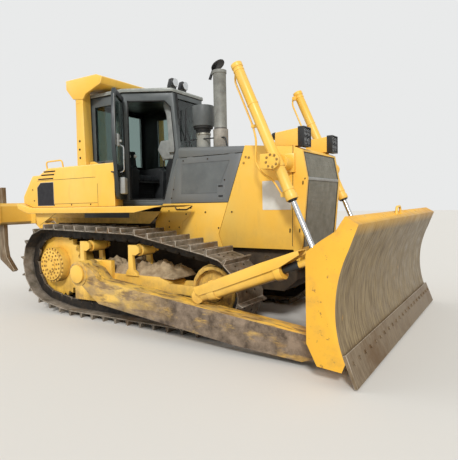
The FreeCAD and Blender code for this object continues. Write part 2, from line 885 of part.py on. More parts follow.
def hood():
    """Hood top with rounded shoulders, open below."""
    half = S.hood_width / 2
    crease = hood_crease()
    outer = prism("side", [(S.hood_rear, crease + S.seam), (S.hood_rear, S.hood_rear_top),
                           (hood_front, S.hood_front_top), (hood_front, crease + S.seam)], -half, half)
    outer = rounded(outer, S.hood_chamfer, lambda middle: middle.z > float(S.hood_front_top) and abs(middle.y) > 1)
    wall = S.hood_wall
    inner = prism("side", [(S.hood_rear - 5, crease - 5), (S.hood_rear - 5, S.hood_rear_top - wall),
                           (hood_front + 5, S.hood_front_top - wall), (hood_front + 5, crease - 5)],
                  -half + wall, half - wall)
    inner = rounded(inner, S.hood_chamfer - wall,
                    lambda middle: middle.z > float(S.hood_front_top) - 20 and abs(middle.y) > 1)
    front = prism("side", [(guard_edge(crease - 50) - S.seam, crease - 50),
                           (guard_edge(S.hood_rear_top) - S.seam, S.hood_rear_top),
                           (hood_front + 60, S.hood_rear_top), (hood_front + 60, crease - 50)],
                  -half - 5, half + 5)
    node("hood", cut(outer, inner, front))
    engine_doors(half, crease)
    cowl(half, crease)


def hood_crease():
    """Height of the line where the engine doors are hung."""
    return S.hood_rear_top - S.hood_crease_drop


def cowl_edge(height):
    """The slanted rear edge of the side panels, as a station at a height."""
    return S.cowl_rear + S.cowl_lean / (hood_crease() - S.hood_bottom) * (height - S.hood_bottom)


def rounded(piece, radius, pick):
    """Round the edges whose middle point is picked."""
    DOC.recompute()
    obj = DOC.addObject("Part::Fillet", "rounded")
    obj.Base = piece
    chosen = []
    for number, edge in enumerate(piece.Shape.Edges, start=1):
        middle = edge.valueAt((edge.FirstParameter + edge.LastParameter) / 2)
        if pick(middle):
            chosen.append((number, float(radius), float(radius)))
    obj.Edges = chosen
    return obj


def engine_doors(half, crease):
    """Gull-wing doors over the engine, hung on two hinge barrels at the crease."""
    strip = S.cowl_strip / (crease - S.hood_bottom)
    outline = [(cowl_edge(crease) + 4, crease), (guard_edge(crease) - S.seam, crease),
               (guard_edge(S.hood_bottom) - S.seam, S.hood_bottom),
               (S.cowl_rear + strip * (crease - S.hood_bottom) + 4, S.hood_bottom)]
    recess = [(S.hood_rear + 60, crease - 75), (guard_edge(crease) - 190, crease - 75),
              (guard_edge(S.hood_bottom) - 130, S.hood_bottom + 110), (S.hood_rear + 20, S.hood_bottom + 110)]
    panel = prism("side", outline, half - S.hood_wall + S.roller_play, half)
    dent = prism("side", recess, half - 5, half + 5)
    barrels = []
    for share in (0.16, 0.80):
        x = cowl_edge(crease) + (guard_edge(crease) - cowl_edge(crease)) * share
        y = half - S.hood_wall / 2
        barrels.append(rod("x", x, y, crease, S.hood_wall / 2, 90))
    door = fuse(cut(panel, dent), *barrels)
    node("engine_door_left", group(door))
    node("engine_door_right", group(mirrored(door)))


def cowl(half, crease):
    """Firewall, the fixed strips behind the doors and the skirts below them."""
    wall = S.hood_wall
    firewall = prism("cross", [(-S.hull_width / 2, S.hull_top), (S.hull_width / 2, S.hull_top),
                               (S.hull_width / 2, S.hood_bottom), (half - wall, S.hood_bottom),
                               (half - wall, S.hood_rear_top - S.hood_chamfer - 4),
                               (half - S.hood_chamfer, S.hood_rear_top - wall - 3),
                               (-half + S.hood_chamfer, S.hood_rear_top - wall - 3),
                               (-half + wall, S.hood_rear_top - S.hood_chamfer - 4), (-half + wall, S.hood_bottom),
                               (-S.hull_width / 2, S.hood_bottom)], S.hood_rear + 4, S.hood_rear + 4 + wall)
    strip = prism("side", [(cowl_edge(S.hood_bottom - S.seam - 5), S.hood_bottom - S.seam - 5),
                           (cowl_edge(crease), crease), (cowl_edge(crease) + 1, crease),
                           (S.cowl_rear + S.cowl_strip, S.hood_bottom - S.seam - 5)], half - wall, half)
    backing = prism("side", [(cowl_edge(S.hood_bottom), S.hood_bottom), (cowl_edge(crease), crease),
                             (S.hood_rear + 10, crease), (S.hood_rear + 10, S.hood_bottom)],
                    half - wall * 2, half - wall)
    low = S.hood_bottom - S.seam
    skirt = prism("side", [(S.skirt_rear, S.hull_top), (S.skirt_rear, S.skirt_height), (cowl_edge(low), low),
                           (guard_edge(low) - S.seam, low), (guard_foot_rear - S.seam, S.guard_foot_height),
                           (guard_foot_rear + 60 - S.seam, S.hull_top)], half - wall, half)
    flange = box(S.skirt_rear, guard_foot_rear + 50 - S.seam, S.engine_width / 2 + 30, half - 2, S.hull_top,
                 S.hull_top + wall)
    sides = fuse(strip, backing, skirt, flange)
    node("cowl", fuse(firewall, sides, mirrored(sides)))


def guard_edge(height):
    """The guard's slanted rear edge, as a station at a height."""
    lean = (hood_front - guard_foot_rear) / (S.hood_front_top - S.guard_foot_height)
    return guard_foot_rear + lean * (height - S.guard_foot_height)


def guard_top(x):
    """Height just over the guard's sloping top at a station."""
    fall = (S.hood_front_top - S.guard_lip_height - 45) / (guard_lip - 110 - hood_front)
    return S.hood_front_top - fall * (x - hood_front) + S.roller_play


def radiator_guard():
    half = S.hood_width / 2
    outline = [(hood_front, S.hood_front_top), (guard_edge(S.hood_bottom), S.hood_bottom),
               (guard_foot_rear, S.guard_foot_height), (guard_foot_rear + 60, S.hull_top),
               (guard_foot_rear + 200, S.hull_top), (hull_front, S.hull_top),
               (guard_bend - S.guard_toe_setback, S.guard_toe_height), (guard_bend - S.guard_tuck, S.grille_foot_height),
               (guard_bend, S.guard_bend_height), (guard_lip, S.guard_lip_height),
               (guard_lip - 110, S.guard_lip_height + 45)]
    shell = prism("side", outline, -half, half)
    wall = S.guard_wall
    room = box(guard_foot_rear - 50, guard_bend - 160, -half + wall, half - wall,
               S.hull_top + wall, S.hood_front_top - 95)
    low = prism("side", [(hood_front - 60, S.hood_front_top + 50), (hood_front - 60, S.hood_front_top - 150),
                         (hood_front + 200, S.hood_front_top - 150), (hood_front + 150, S.hood_front_top - 40)],
                -half + wall, half - wall)
    margin = S.grille_margin
    mouth = box(guard_bend - 220, guard_bend + 60, -half + margin, half - margin,
                S.grille_foot_height, S.guard_lip_height - 20)
    hull_room = box(guard_foot_rear - 60, hull_front + S.roller_play, -S.hull_width / 2 - S.roller_play,
                    S.hull_width / 2 + S.roller_play, S.hull_bottom, S.hull_top)
    notch = box(engine_front - 600, engine_front + 20, -S.engine_width / 2 - 15, S.engine_width / 2 + 15,
                S.hull_top - 5, S.engine_top)
    node("radiator_guard", cut(shell, room, low, mouth, hull_room, notch))
    node("grille", grille())
    lamps = []
    for middle in (-S.lamp_box_offset, S.lamp_box_offset):
        y0 = middle - S.lamp_box_width / 2
        y1 = middle + S.lamp_box_width / 2
        base = S.guard_lip_height + 46
        reach = guard_bend - S.lamp_box_setback
        end = reach + S.lamp_box_length
        case = prism("side", [(reach, guard_top(reach)), (guard_lip - 110, guard_top(guard_lip - 110)),
                              (end, guard_top(guard_lip - 110)), (end + 15, base + S.lamp_box_height),
                              (reach + 8, base + S.lamp_box_height - 35)], y0, y1)
        lamps.append(case)
    node("front_lamps", group(*lamps))


def grille():
    """Frame and slats, bent once like the mask of the guard."""
    half = S.hood_width / 2 - S.grille_margin - S.glass_play
    face_top = S.guard_lip_height - 24
    foot = S.grille_foot_height + S.glass_play
    bend_z = S.guard_bend_height
    lean_low = S.guard_tuck / (S.guard_bend_height - S.grille_foot_height)
    lean_top = S.guard_lip_setback / (S.guard_lip_height - S.guard_bend_height)
    depth = S.grille_depth

    def face_x(z):
        if float(z) < float(bend_z):
            return guard_bend - lean_low * (bend_z - z) - 6
        return guard_bend - lean_top * (z - bend_z) - 6

    outline = [(face_x(foot), foot), (guard_bend - 6, bend_z), (face_x(face_top), face_top),
               (face_x(face_top) - depth, face_top), (guard_bend - 6 - depth, bend_z),
               (face_x(foot) - depth, foot)]
    bars = []
    rim = 40
    for y0 in (-half, half - rim):
        bars.append(prism("side", outline, y0, y0 + rim))
    bars.append(box(guard_bend - 6 - depth, guard_bend - 9, -half, half, bend_z - rim / 2, bend_z + rim / 2))
    count = int(float(S.grille_slat_count))
    step = (face_top - foot - S.grille_slat) / (count - 1)
    for index in range(count):
        z = foot + step * index
        x = face_x(z) - depth + 1
        bars.append(box(x, x + depth - 8, -half, half, z, z + S.grille_slat))
    return fuse(*bars)


# Cab

def cab_plan(inset, y_sign=1):
    """The cab's six-sided plan, drawn in by a distance."""
    across = S.cab_width / 2 - inset
    bite = inset * math.tan(math.radians(float(S.facet_angle) / 2))
    tip = inset * math.tan(math.radians((90 - float(S.facet_angle)) / 2))
    return [(S.cab_rear + inset, -across), (S.cab_corner - bite, -across),
            (front_x - inset, -front_y + tip), (front_x - inset, front_y - tip),
            (S.cab_corner - bite, across), (S.cab_rear + inset, across)]


def cab():
    floor_plan = cab_plan(0)
    node("cab_floor", fuse(prism("plan", floor_plan, S.cab_floor, S.cab_sill - 25),
                           box(S.cab_rear, S.cab_corner, -S.fender_inner, S.fender_inner,
                               S.case_top + 0.3, S.cab_floor + 5)))
    wall = S.cab_wall
    shell = common(prism("plan", floor_plan, S.cab_sill - 25, S.cab_top), raked(0))
    room = common(prism("plan", cab_plan(wall), S.cab_sill - 30, S.cab_top + 5), raked(wall))
    half = S.cab_width / 2
    post = S.post_width
    cuts = [box(S.cab_rear - 20, S.cab_rear + wall + 20, -half + post + 40, half - post - 40,
                S.window_sill, S.cab_head),
            box(front_x - wall - S.rake - 20, front_x + 20, -front_y + post, front_y - post,
                S.window_sill + 40, S.cab_head)]
    for sign in (-1, 1):
        y0 = half * sign - 60
        cuts.append(box(S.cab_rear + 360, S.cab_rear + 720, y0, y0 + 120, S.window_sill, S.cab_head - 60))
        end = S.facet_length - post + 15
        hole = prism("side", [(post - 10, S.cab_sill), (end - S.door_foot_cut, S.cab_sill), (end, S.door_knee),
                              (end - 48, S.cab_head - 130), (end - 130, S.cab_head - 40), (post - 10, S.cab_head - 40)],
                     -70, 70)
        cuts.append(moved(hole, S.cab_corner, half * sign, 0, (0, 0, 1), S.facet_angle * (-sign)))
    hinges = [door_pins(sign) for sign in (-1, 1)]
    node("cab_body", fuse(cut(shell, room, *cuts), *hinges))
    roof = prism("plan", cab_plan(-S.roof_overhang), S.cab_top, S.cab_top + S.roof_thickness)
    node("cab_roof", common(roof, raked(-S.roof_overhang / 2)))
    cab_glass()
    for name, sign in (("right", -1), ("left", 1)):
        door(name, sign)


def raked(inset):
    """The side view that leans the cab's front back above the windscreen's foot."""
    front = front_x - inset
    rise = S.cab_top + S.roof_thickness - S.rake_foot_height
    return prism("side", [(S.cab_rear - 100, S.cab_floor - 100), (front, S.cab_floor - 100),
                          (front, S.rake_foot_height), (front - S.rake, S.rake_foot_height + rise),
                          (S.cab_rear - 100, S.rake_foot_height + rise)], -S.cab_width, S.cab_width)


def hinge_place(sign):
    """The door hinge's axis, a little outside the cab's corner."""
    away = S.door_gap + S.door_thickness / 2
    x = S.cab_corner + away * sine(S.facet_angle) - 6
    y = (S.cab_width / 2 + away * cosine(S.facet_angle)) * sign
    return x, y


DOOR_HINGES = (1720, 2800)


def door_pins(sign):
    """Hinge pins of one door and the lugs that hold them to the cab's corner."""
    x, y = hinge_place(sign)
    pieces = []
    for z in DOOR_HINGES:
        pieces.append(bar("z", x, y, z - 30, S.door_pin_radius, 135))
        reach = S.door_gap + S.door_thickness / 2 + 14
        if sign < 0:
            lug = box(x - 12, x + 10, y - 12, y + reach, z - 30, z - 3)
        else:
            lug = box(x - 12, x + 10, y - reach, y + 12, z - 30, z - 3)
        pieces.append(lug)
    return fuse(*pieces)


def cab_glass():
    half = S.cab_width / 2
    post = S.post_width
    play = S.glass_play
    t = S.glass_thickness
    panes = [box(S.cab_rear + 20, S.cab_rear + 20 + t, -half + post + 40 + play, half - post - 40 - play,
                 S.window_sill + play, S.cab_head - play),
             windscreen(front_y - post - play, S.window_sill + 40 + play, S.cab_head - play)]
    for sign in (-1, 1):
        y0 = (half - 30) * sign - t / 2
        panes.append(box(S.cab_rear + 360 + play, S.cab_rear + 720 - play, y0, y0 + t,
                         S.window_sill + play, S.cab_head - 60 - play))
    node("cab_glass", group(*panes))


def windscreen(half, foot, head):
    """The front pane, in the middle of the raked wall."""
    slant = S.rake / (S.cab_top + S.roof_thickness - S.rake_foot_height)
    middle = front_x - S.cab_wall / 2
    t = S.glass_thickness
    top = middle - slant * (head - S.rake_foot_height)
    return prism("side", [(middle, foot), (middle, S.rake_foot_height), (top, head), (top - t, head),
                          (middle - t, S.rake_foot_height), (middle - t, foot)], -half, half)


def door(name, sign):
    """A door drawn about its hinge axis: local X runs along the shut door."""
    bottom = S.cab_sill + 10
    top = S.cab_head - 10
    start = 32
    end = S.facet_length - 10
    half = S.door_thickness / 2
    rail = S.door_rail
    low_end = end - S.door_foot_cut
    leaf = prism("side", [(start, bottom), (low_end - 60, bottom), (low_end + 10, bottom + 60), (end, S.door_knee),
                          (end - S.rake, top - 90), (end - S.rake - 80, top), (start, top)], -half, half)
    upper = door_light(start + rail, end - rail, S.door_waist + rail / 2, top - rail, 0, half + 5)
    lower = door_light(start + rail, low_end, bottom + rail + 170, S.door_waist - rail / 2, 1, half + 5)
    frame = cut(leaf, upper, lower)
    knuckles = []
    bores = []
    for z in DOOR_HINGES:
        knuckles.append(bar("z", 0, 0, z, S.door_hinge_radius, 90))
        knuckles.append(box(0, start + 10, -S.door_hinge_radius, 0, z, z + 90))
        bores.append(rod("z", 0, 0, z - 5, S.door_pin_radius + S.pin_play, 100))
    pieces = cut(fuse(frame, *knuckles), *bores)
    play = S.glass_play
    pane = S.glass_thickness / 2
    panes = group(door_light(start + rail + play, end - rail - play, S.door_waist + rail / 2 + play,
                             top - rail - play, 0, pane),
                  door_light(start + rail + play, low_end - play, bottom + rail + 170 + play,
                             S.door_waist - rail / 2 - play, 1, pane))
    x, y = hinge_place(-1)
    if sign > 0:
        angle = S.facet_angle
        node("door_left", mirrored(moved(pieces, x, y, 0, (0, 0, 1), angle)))
        node("door_left_glass", mirrored(moved(panes, x, y, 0, (0, 0, 1), angle)))
    else:
        angle = S.facet_angle - S.door_open
        node("door_right", moved(pieces, x, y, 0, (0, 0, 1), angle))
        node("door_right_glass", moved(panes, x, y, 0, (0, 0, 1), angle))


def door_light(x0, x1, z0, z1, low, half):
    """The outline of a door's upper or lower pane, as deep as asked."""
    if low:
        outline = [(x0, z0), (x1, z0), (x1 + 45, z1), (x0, z1)]
    else:
        outline = [(x0, z0), (x1 - 20, z0), (x1, z0 + 200), (x1 - S.rake, z1 - 45), (x1 - S.rake - 45, z1), (x0, z1)]
    return prism("side", outline, -half, half)


def cab_inside():
    base = S.cab_sill - 25
    half = S.seat_width / 2
    seat_x = S.seat_reach
    cushion = prism("side", [(seat_x - 210, base + 300), (seat_x + 260, base + 310), (seat_x + 280, base + 380),
                             (seat_x + 240, base + 420), (seat_x - 150, base + 400), (seat_x - 190, S.seat_top + 330),
                             (seat_x - 230, S.seat_top + 390), (seat_x - 290, S.seat_top + 380),
                             (seat_x - 290, S.seat_top - 20)], -half, half)
    pedestal = box(seat_x - 180, seat_x + 180, -half + 60, half - 60, base, base + 305)
    node("seat", fuse(cushion, pedestal))
    dash = prism("side", [(front_x - 330, base), (front_x - 75, base), (front_x - 75, S.window_sill - 30),
                          (front_x - 230, S.window_sill + 30), (front_x - 300, S.window_sill - 90)],
                 -front_y + 70, front_y - 70)
    consoles = []
    for sign in (-1, 1):
        y0 = half + 15 if sign > 0 else -half - 15 - S.console_width + 50
        consoles.append(prism("side", [(S.cab_rear + 120, base), (seat_x + 260, base), (seat_x + 300, base + 480),
                                       (seat_x + 200, base + 540), (S.cab_rear + 120, base + 520)],
                              y0, y0 + S.console_width - 50))
    node("consoles", group(dash, *consoles))


def rops():
    half = S.rops_width / 2
    top = S.rops_top
    # Beam outline in the side view
    beam = prism("side", [(S.rops_rear, top), (S.rops_front - 110, top), (S.rops_front, top - 45),
                          (S.rops_front - 30, top - 135), (S.rops_front - 100, top - 158),
                          (S.rops_rear + 90, top - 158), (S.rops_rear, top - 110)], -half, half)
    end = prism("side", [(S.rops_rear, top), (S.rops_front - 110, top), (S.rops_front, top - 45),
                         (S.rops_front - 30, top - 135), (S.rops_front - 100, top - 158),
                         (S.rops_post_front + 60, top - 235), (S.rops_post_front, top - 307),
                         (S.rops_post_rear - 40, top - 280), (S.rops_rear, top - 125)], half - S.rops_end, half)
    post = prism("side", [(S.rops_post_rear - 5, S.tank_top + 25), (S.rops_post_front + 5, S.tank_top + 25),
                          (S.rops_post_front - 15, top - 150), (S.rops_post_rear + 12, top - 150)],
                 half - 5 - S.rops_post_thickness, half - 5)
    foot = box(S.rops_post_rear - 50, S.rops_post_front + 60, half - 15 - S.rops_post_thickness, half + 20,
               S.tank_top + 0.3, S.tank_top + 30)
    leg = fuse(end, post, foot)
    node("rops_bar", fuse(beam, leg, mirrored(leg)))


def cab_lamps():
    lamps = []
    for y in (-front_y + 20, -60):
        front = front_x - S.rake
        base = S.cab_top + S.roof_thickness
        lamps.append(prism("side", [(front - 85, base), (front - 15, base), (front - 15, base + 30),
                                    (front + 8, base + 34), (front + 10, base + 135), (front - 50, base + 128),
                                    (front - 80, base + 45)], y - 62, y + 62))
    node("cab_lamps", group(*lamps))


def stacks():
    x = hood_front - S.exhaust_setback
    y = -S.exhaust_side
    low = S.hood_front_top
    under = prism("side", [(S.hood_rear, S.hood_bottom), (S.hood_rear, S.hood_rear_top + S.roller_play),
                           (hood_front, low + S.roller_play), (hood_front, S.hood_bottom)],
                  -S.hood_width / 2, 0)
    pipe = bar("z", x, y, low, S.exhaust_radius, S.exhaust_top - low, S.drum_side_count)
    rim = bar("z", x, y, S.exhaust_top - 40, S.exhaust_radius + 7, 40, S.drum_side_count)
    base = bar("z", x, y, low, S.exhaust_radius + 14, 250, S.drum_side_count)
    bore = bar("z", x, y, S.exhaust_top - 220, S.exhaust_radius - 6, 230, S.drum_side_count)
    reach = S.exhaust_radius + 12
    ears = [box(x - reach - 10, x - S.exhaust_radius, y + start, y + start + 12, S.exhaust_top - 36, S.exhaust_top + 4)
            for start in (-12 - S.roller_play - 12, 12 + S.roller_play)]
    node("exhaust_pipe", cut(fuse(pipe, rim, base, *ears), bore, under))
    lid = bar("z", 0, 0, 0, reach, S.flap_thickness, S.drum_side_count)
    # The lid stands open, hinged at the rim's rear, with its weight hanging behind
    arm = prism("side", [(-reach - 70, -95), (-reach - 38, -105), (-reach - 2, -14), (-reach + 40, 22),
                         (-reach + 32, 38), (-reach - 16, 12)], -12, 12)
    opened = moved(lid, reach * cosine(S.flap_open) - reach, 0, reach * sine(S.flap_open), (0, 1, 0), -S.flap_open)
    node("rain_flap", moved(fuse(opened, arm), x, y, S.exhaust_top + 10))
    radius = S.cleaner_radius
    sides = S.wheel_side_count
    cx = hood_front - S.cleaner_setback
    drum = bar("z", cx, y, S.cleaner_bottom, radius, S.cleaner_height, sides)
    skirt = bar("z", cx, y, S.cleaner_bottom - S.cleaner_skirt / 2, radius - 14, S.cleaner_skirt, sides)
    waist = bar("z", cx, y, S.cleaner_bottom - S.cleaner_skirt, radius - 42, S.cleaner_skirt, sides)
    neck = bar("z", cx, y, low, S.cleaner_neck, S.cleaner_bottom - low, S.drum_side_count)
    node("pre_cleaner", cut(fuse(drum, skirt, waist, neck), under))


def fenders():
    top = S.fender_top
    low = top - S.fender_depth
    plate = prism("side", [(-S.fender_rear, top + 60), (-S.fender_rear + 20, top - 10), (-S.fender_rear + 260, low),
                           (S.fender_front, low), (S.fender_front + 330, low + 60), (S.fender_front + 480, top),
                           (-S.fender_rear + 330, top), (-S.fender_rear + 90, top + 60)],
                  S.fender_inner + 0.3, S.fender_width)
    under = box(-S.fender_rear + 280, S.fender_front + 350, S.fender_inner - 5, S.fender_width - 22,
                low - 5, top - 22)
    fender = cut(plate, under)
    node("fenders", group(fender, mirrored(fender)))


def door_clear_line(y):
    """The station that the side tank keeps behind the open door at a side distance."""
    lean = cosine(S.door_open - S.facet_angle) / sine(S.door_open - S.facet_angle)
    return S.cab_corner - S.tank_gap + lean * (y - S.cab_width / 2)


def tanks():
    top = S.tank_top
    base = S.fender_top + 0.3
    inner = S.cab_width / 2 + 40
    outline = [(-S.tank_rear, base + 70), (-S.tank_rear + 240, base), (S.cab_corner + 400, base),
               (S.cab_corner + 400, top),
               (20, top), (-170, top - 90), (-330, top - 95), (-S.tank_rear, top - 390)]
    block = prism("side", outline, inner, S.tank_side)
    door_cut = prism("plan", [(door_clear_line(inner - 50), inner - 50), (S.cab_corner + 800, inner - 50),
                              (S.cab_corner + 800, S.tank_side + 50),
                              (door_clear_line(S.tank_side + 50), S.tank_side + 50)], base - 10, top + 10)
    tank = cut(block, door_cut)
    node("side_tanks", group(tank, mirrored(tank)))
    rear = prism("side", [(-S.rear_tank_rear + 60, S.case_top + 0.3), (S.cab_rear - 20, S.case_top + 0.3),
                          (S.cab_rear - 20, top), (-170, top), (-S.rear_tank_rear + 60, top - 330),
                          (-S.rear_tank_rear, top - 390), (-S.rear_tank_rear, S.case_top + 60)],
                 -S.fender_inner, S.fender_inner)
    node("fuel_tank", rear)


# Blade and its arms

def root(value):
    return Size(math.sqrt(float(value)), "sqrt(%s)" % formula(value))


def edge_outline():
    """The cutting edge: a straight plate laid on the foot of the curved face."""
    band_x, band_z = band_corner()
    run = band_x - S.blade_foot
    rise = band_z - S.blade_foot_height
    chord = diagonal(run, rise)
    reach = root(S.blade_radius * S.blade_radius - chord * chord / 4)
    # Unit vector from the foot to the centre of the face's arc
    out_x = (run / 2 + rise / chord * reach) / S.blade_radius
    out_z = (rise / 2 - run / chord * reach) / S.blade_radius
    drop = (S.blade_foot_height - S.edge_tip_height) / out_x
    tip = (S.blade_foot + out_z * drop, S.edge_tip_height)
    head = (S.blade_foot - out_z * S.edge_overlap + out_x * S.edge_seat,
            S.blade_foot_height + out_x * S.edge_overlap + out_z * S.edge_seat)
    thick = S.edge_thickness
    return [tip, (tip[0] + out_x * thick, tip[1] + out_z * thick),
            (head[0] + out_x * thick, head[1] + out_z * thick), head,
            (S.blade_foot + out_x * S.roller_play, S.blade_foot_height + out_z * S.roller_play)]


def band_corner():
    """Where the blade's straight upper band meets its curved face."""
    return S.blade_crest - 85, S.blade_crest_height - 215


def blade():
    half = S.blade_width / 2
    plate = S.blade_plate
    crest = (S.blade_crest, S.blade_crest_height)
    foot = (S.blade_foot, S.blade_foot_height)
    lip = (S.blade_crest - 108, S.blade_lip_height)
    band_x, band_z = band_corner()
    skin = prism("side", [crest, lip, (band_x - plate - 10, band_z + 10), (S.blade_foot - plate, S.blade_foot_height),
                          foot, (band_x, band_z)], -half, half,
                 {2: (S.blade_radius + plate, -1), 4: (S.blade_radius, 1)})
    side_outline = [crest, lip, (S.blade_back + 262, S.blade_lip_height - 115), (S.blade_back + 130, 1190),
                    (S.blade_back + 10, 1100), (S.blade_back, 1060), (S.blade_back, 330),
                    (S.blade_back + 90, 150), (S.blade_foot - 30, 130), foot, (band_x, band_z)]
    cheek = prism("side", side_outline, half - S.side_plate, half, {9: (S.blade_radius, 1)})
    rib_outline = [(S.blade_crest - 130, S.blade_lip_height - 30), (S.blade_back + 250, S.blade_lip_height - 125),
                   (S.blade_back + 120, 1180), (S.blade_back + 8, 1090), (S.blade_back + 8, 330),
                   (S.blade_back + 98, 160), (S.blade_foot - 30, 190), (band_x - 14, band_z)]
    ribs = []
    count = int(float(S.rib_count))
    step = (half * 2 - S.side_plate * 2) / (count - 1)
    for index in range(1, count - 1):
        y = -half + S.side_plate + step * index
        ribs.append(prism("side", rib_outline, y - S.rib_thickness / 2, y + S.rib_thickness / 2,
                          {6: (S.blade_radius, 1)}))
    top_box = prism("side", [(S.blade_crest - 130, S.blade_lip_height - 30),
                             (S.blade_back + 250, S.blade_lip_height - 125), (S.blade_back + 120, 1180),
                             (S.blade_back + 20, 1100), (S.blade_back + 20, 930), (S.blade_belly - 30, 930),
                             (band_x - 40, band_z)], -half + 5, half - 5)
    low_box = prism("side", [(S.blade_back + 20, 460), (S.blade_back + 20, 330), (S.blade_back + 98, 160),
                             (S.blade_foot - 30, 190), (S.blade_belly - 20, 460)], -half + 5, half - 5)
    ears = []
    for sign in (-1, 1):
        middle = S.lift_side * sign
        for start in (middle - S.lift_ear_gap / 2 - S.lift_ear, middle + S.lift_ear_gap / 2):
            outline = [(S.blade_belly - 8, 500), (S.blade_belly - 8, 920), (S.lift_eye_reach + 40, 770),
                       (S.lift_eye_reach - 60, 740), (S.lift_eye_reach - 75, 640), (S.lift_eye_reach, 590)]
            ear = cut(prism("side", outline, start, start + S.lift_ear),
                      bar("y", S.lift_eye_reach, start - 5, S.lift_eye_height, 30, S.lift_ear + 10))
            ears.append(ear)
    seat = box(S.blade_back, S.blade_foot - 100, arm_inner - 20, arm_outer + 20, 110, 455)
    node("blade", fuse(skin, cheek, mirrored(cheek), top_box, low_box, seat, mirrored(seat), *ribs, *ears))
    edge = prism("side", edge_outline(), -half, half)
    node("cutting_edge", edge)
    push_arms()


def arm_top(x):
    """Height of a push arm's top face at a station."""
    start = S.arm_pivot_reach + 360
    fall = (S.arm_pivot_height - 65 - S.arm_toe_height) / (S.blade_back - start)
    return S.arm_pivot_height - 65 - fall * (x - start)


def push_arms():
    x = S.arm_pivot_reach
    z = S.arm_pivot_height
    front = S.blade_back - S.roller_play
    outline = [(x, z + S.arm_eye_radius), (x + 230, z + 60), (x + 360, arm_top(x + 360)), (front, arm_top(front)),
               (front, 120), (front - 160, 60), (x + 2200, 110), (x + 340, z - 65 - S.arm_depth),
               (x + 60, z - S.arm_eye_radius)]
    beam = prism("side", outline, arm_inner + 12, arm_outer - 12)
    eye = bar("y", x, arm_inner, z, S.arm_eye_radius, S.arm_width, S.drum_side_count)
    bore = rod("y", x, arm_inner - 5, z, S.arm_pin_radius + S.pin_play, S.arm_width + 10)
    arm = cut(fuse(beam, eye), bore)
    node("push_arms", group(arm, mirrored(arm)))


def strut(x0, z0, x1, z1, y, pieces):
    """Turned pieces along a line in the side view, from a foot to a head."""
    lean = slope_angle(x1 - x0, z1 - z0)
    return moved(fuse(*pieces), x0, y, z0, (0, 1, 0), lean)


def blade_struts():
    middle = (arm_inner + arm_outer) / 2
    foot_x = S.tilt_foot_reach
    foot_z = arm_top(foot_x) + S.tilt_foot_radius + 5
    head_x = S.blade_back + 20 - S.tilt_head_radius - S.roller_play
    length = diagonal(head_x - foot_x, S.tilt_head_height - foot_z)
    drum = S.drum_side_count
    ends = [("y", 0, -45, 0, S.tilt_foot_radius, 90, drum), ("y", 0, -45, length, S.tilt_head_radius, 90, drum)]
    barrel = [bar("z", 0, 0, 60, 75, length * 0.66, drum), bar("z", 0, 0, 150, 90, 95, drum),
              bar("z", 0, 0, length * 0.66 + 40, 92, 75, drum), bar("z", 0, 0, 80, 36, length - 100)]
    barrel += [bar(*end) for end in ends]
    # Stone guard over the tilt cylinder, on two posts
    guard = prism("side", [(-92, 20), (-104, 20), (-128, length * 0.62), (-128, length - 120), (-116, length - 120),
                           (-116, length * 0.62)], -95, 95)
    posts = [box(-122, -70, -20, 20, along, along + 60) for along in (170, length * 0.66 + 46)]
    node("tilt_cylinder", strut(foot_x, foot_z, head_x, S.tilt_head_height, -middle, barrel + [guard] + posts))
    brace = [bar("z", 0, 0, 60, 62, length - 260, drum), bar("z", 0, 0, 80, 36, length - 100)]
    brace += [bar(*end) for end in ends]
    node("brace", strut(foot_x, foot_z, head_x, S.tilt_head_height, middle, brace))


def lift_cylinders():
    length = diagonal(lift_run, lift_fall)
    play = S.roller_play
    drum = S.drum_side_count
    for name, sign in (("right", -1), ("left", 1)):
        # Local Z runs down from the trunnion to the eye after the turn
        tube = cut(fuse(bar("z", 0, 0, -S.lift_above, S.lift_bore_radius, S.lift_above + S.lift_below, drum),
                        bar("z", 0, 0, -S.lift_above, S.lift_bore_radius + 6, 50, drum),
                        bar("z", 0, 0, -75, S.lift_bore_radius + 10, 150, drum),
                        bar("z", 0, 0, S.lift_below - 60, S.lift_bore_radius + 8, 60, drum),
                        rod("y", 0, -130, 0, S.lift_trunnion_radius, 260)),
                   bar_hole("z", 0, 0, -S.lift_above + 60, S.lift_rod_radius + play,
                            S.lift_above + S.lift_below))
        barrel = moved(tube, S.lift_pivot_reach, S.lift_side * sign, S.lift_pivot_height,
                       (0, 1, 0), lift_lean)
        node("lift_barrel_" + name, barrel)
        eye = fuse(rod("z", 0, 0, -S.lift_below + 60, S.lift_rod_radius, length + S.lift_below - 100),
                   bar("y", 0, -S.lift_eye_width / 2, length, S.lift_eye_radius, S.lift_eye_width, drum),
                   bar("y", 0, -S.lift_ear_gap / 2 + 6, length, 28, S.lift_ear_gap - 12))
        node("lift_rod_" + name, moved(eye, S.lift_pivot_reach, S.lift_side * sign, S.lift_pivot_height,
                                       (0, 1, 0), lift_lean))


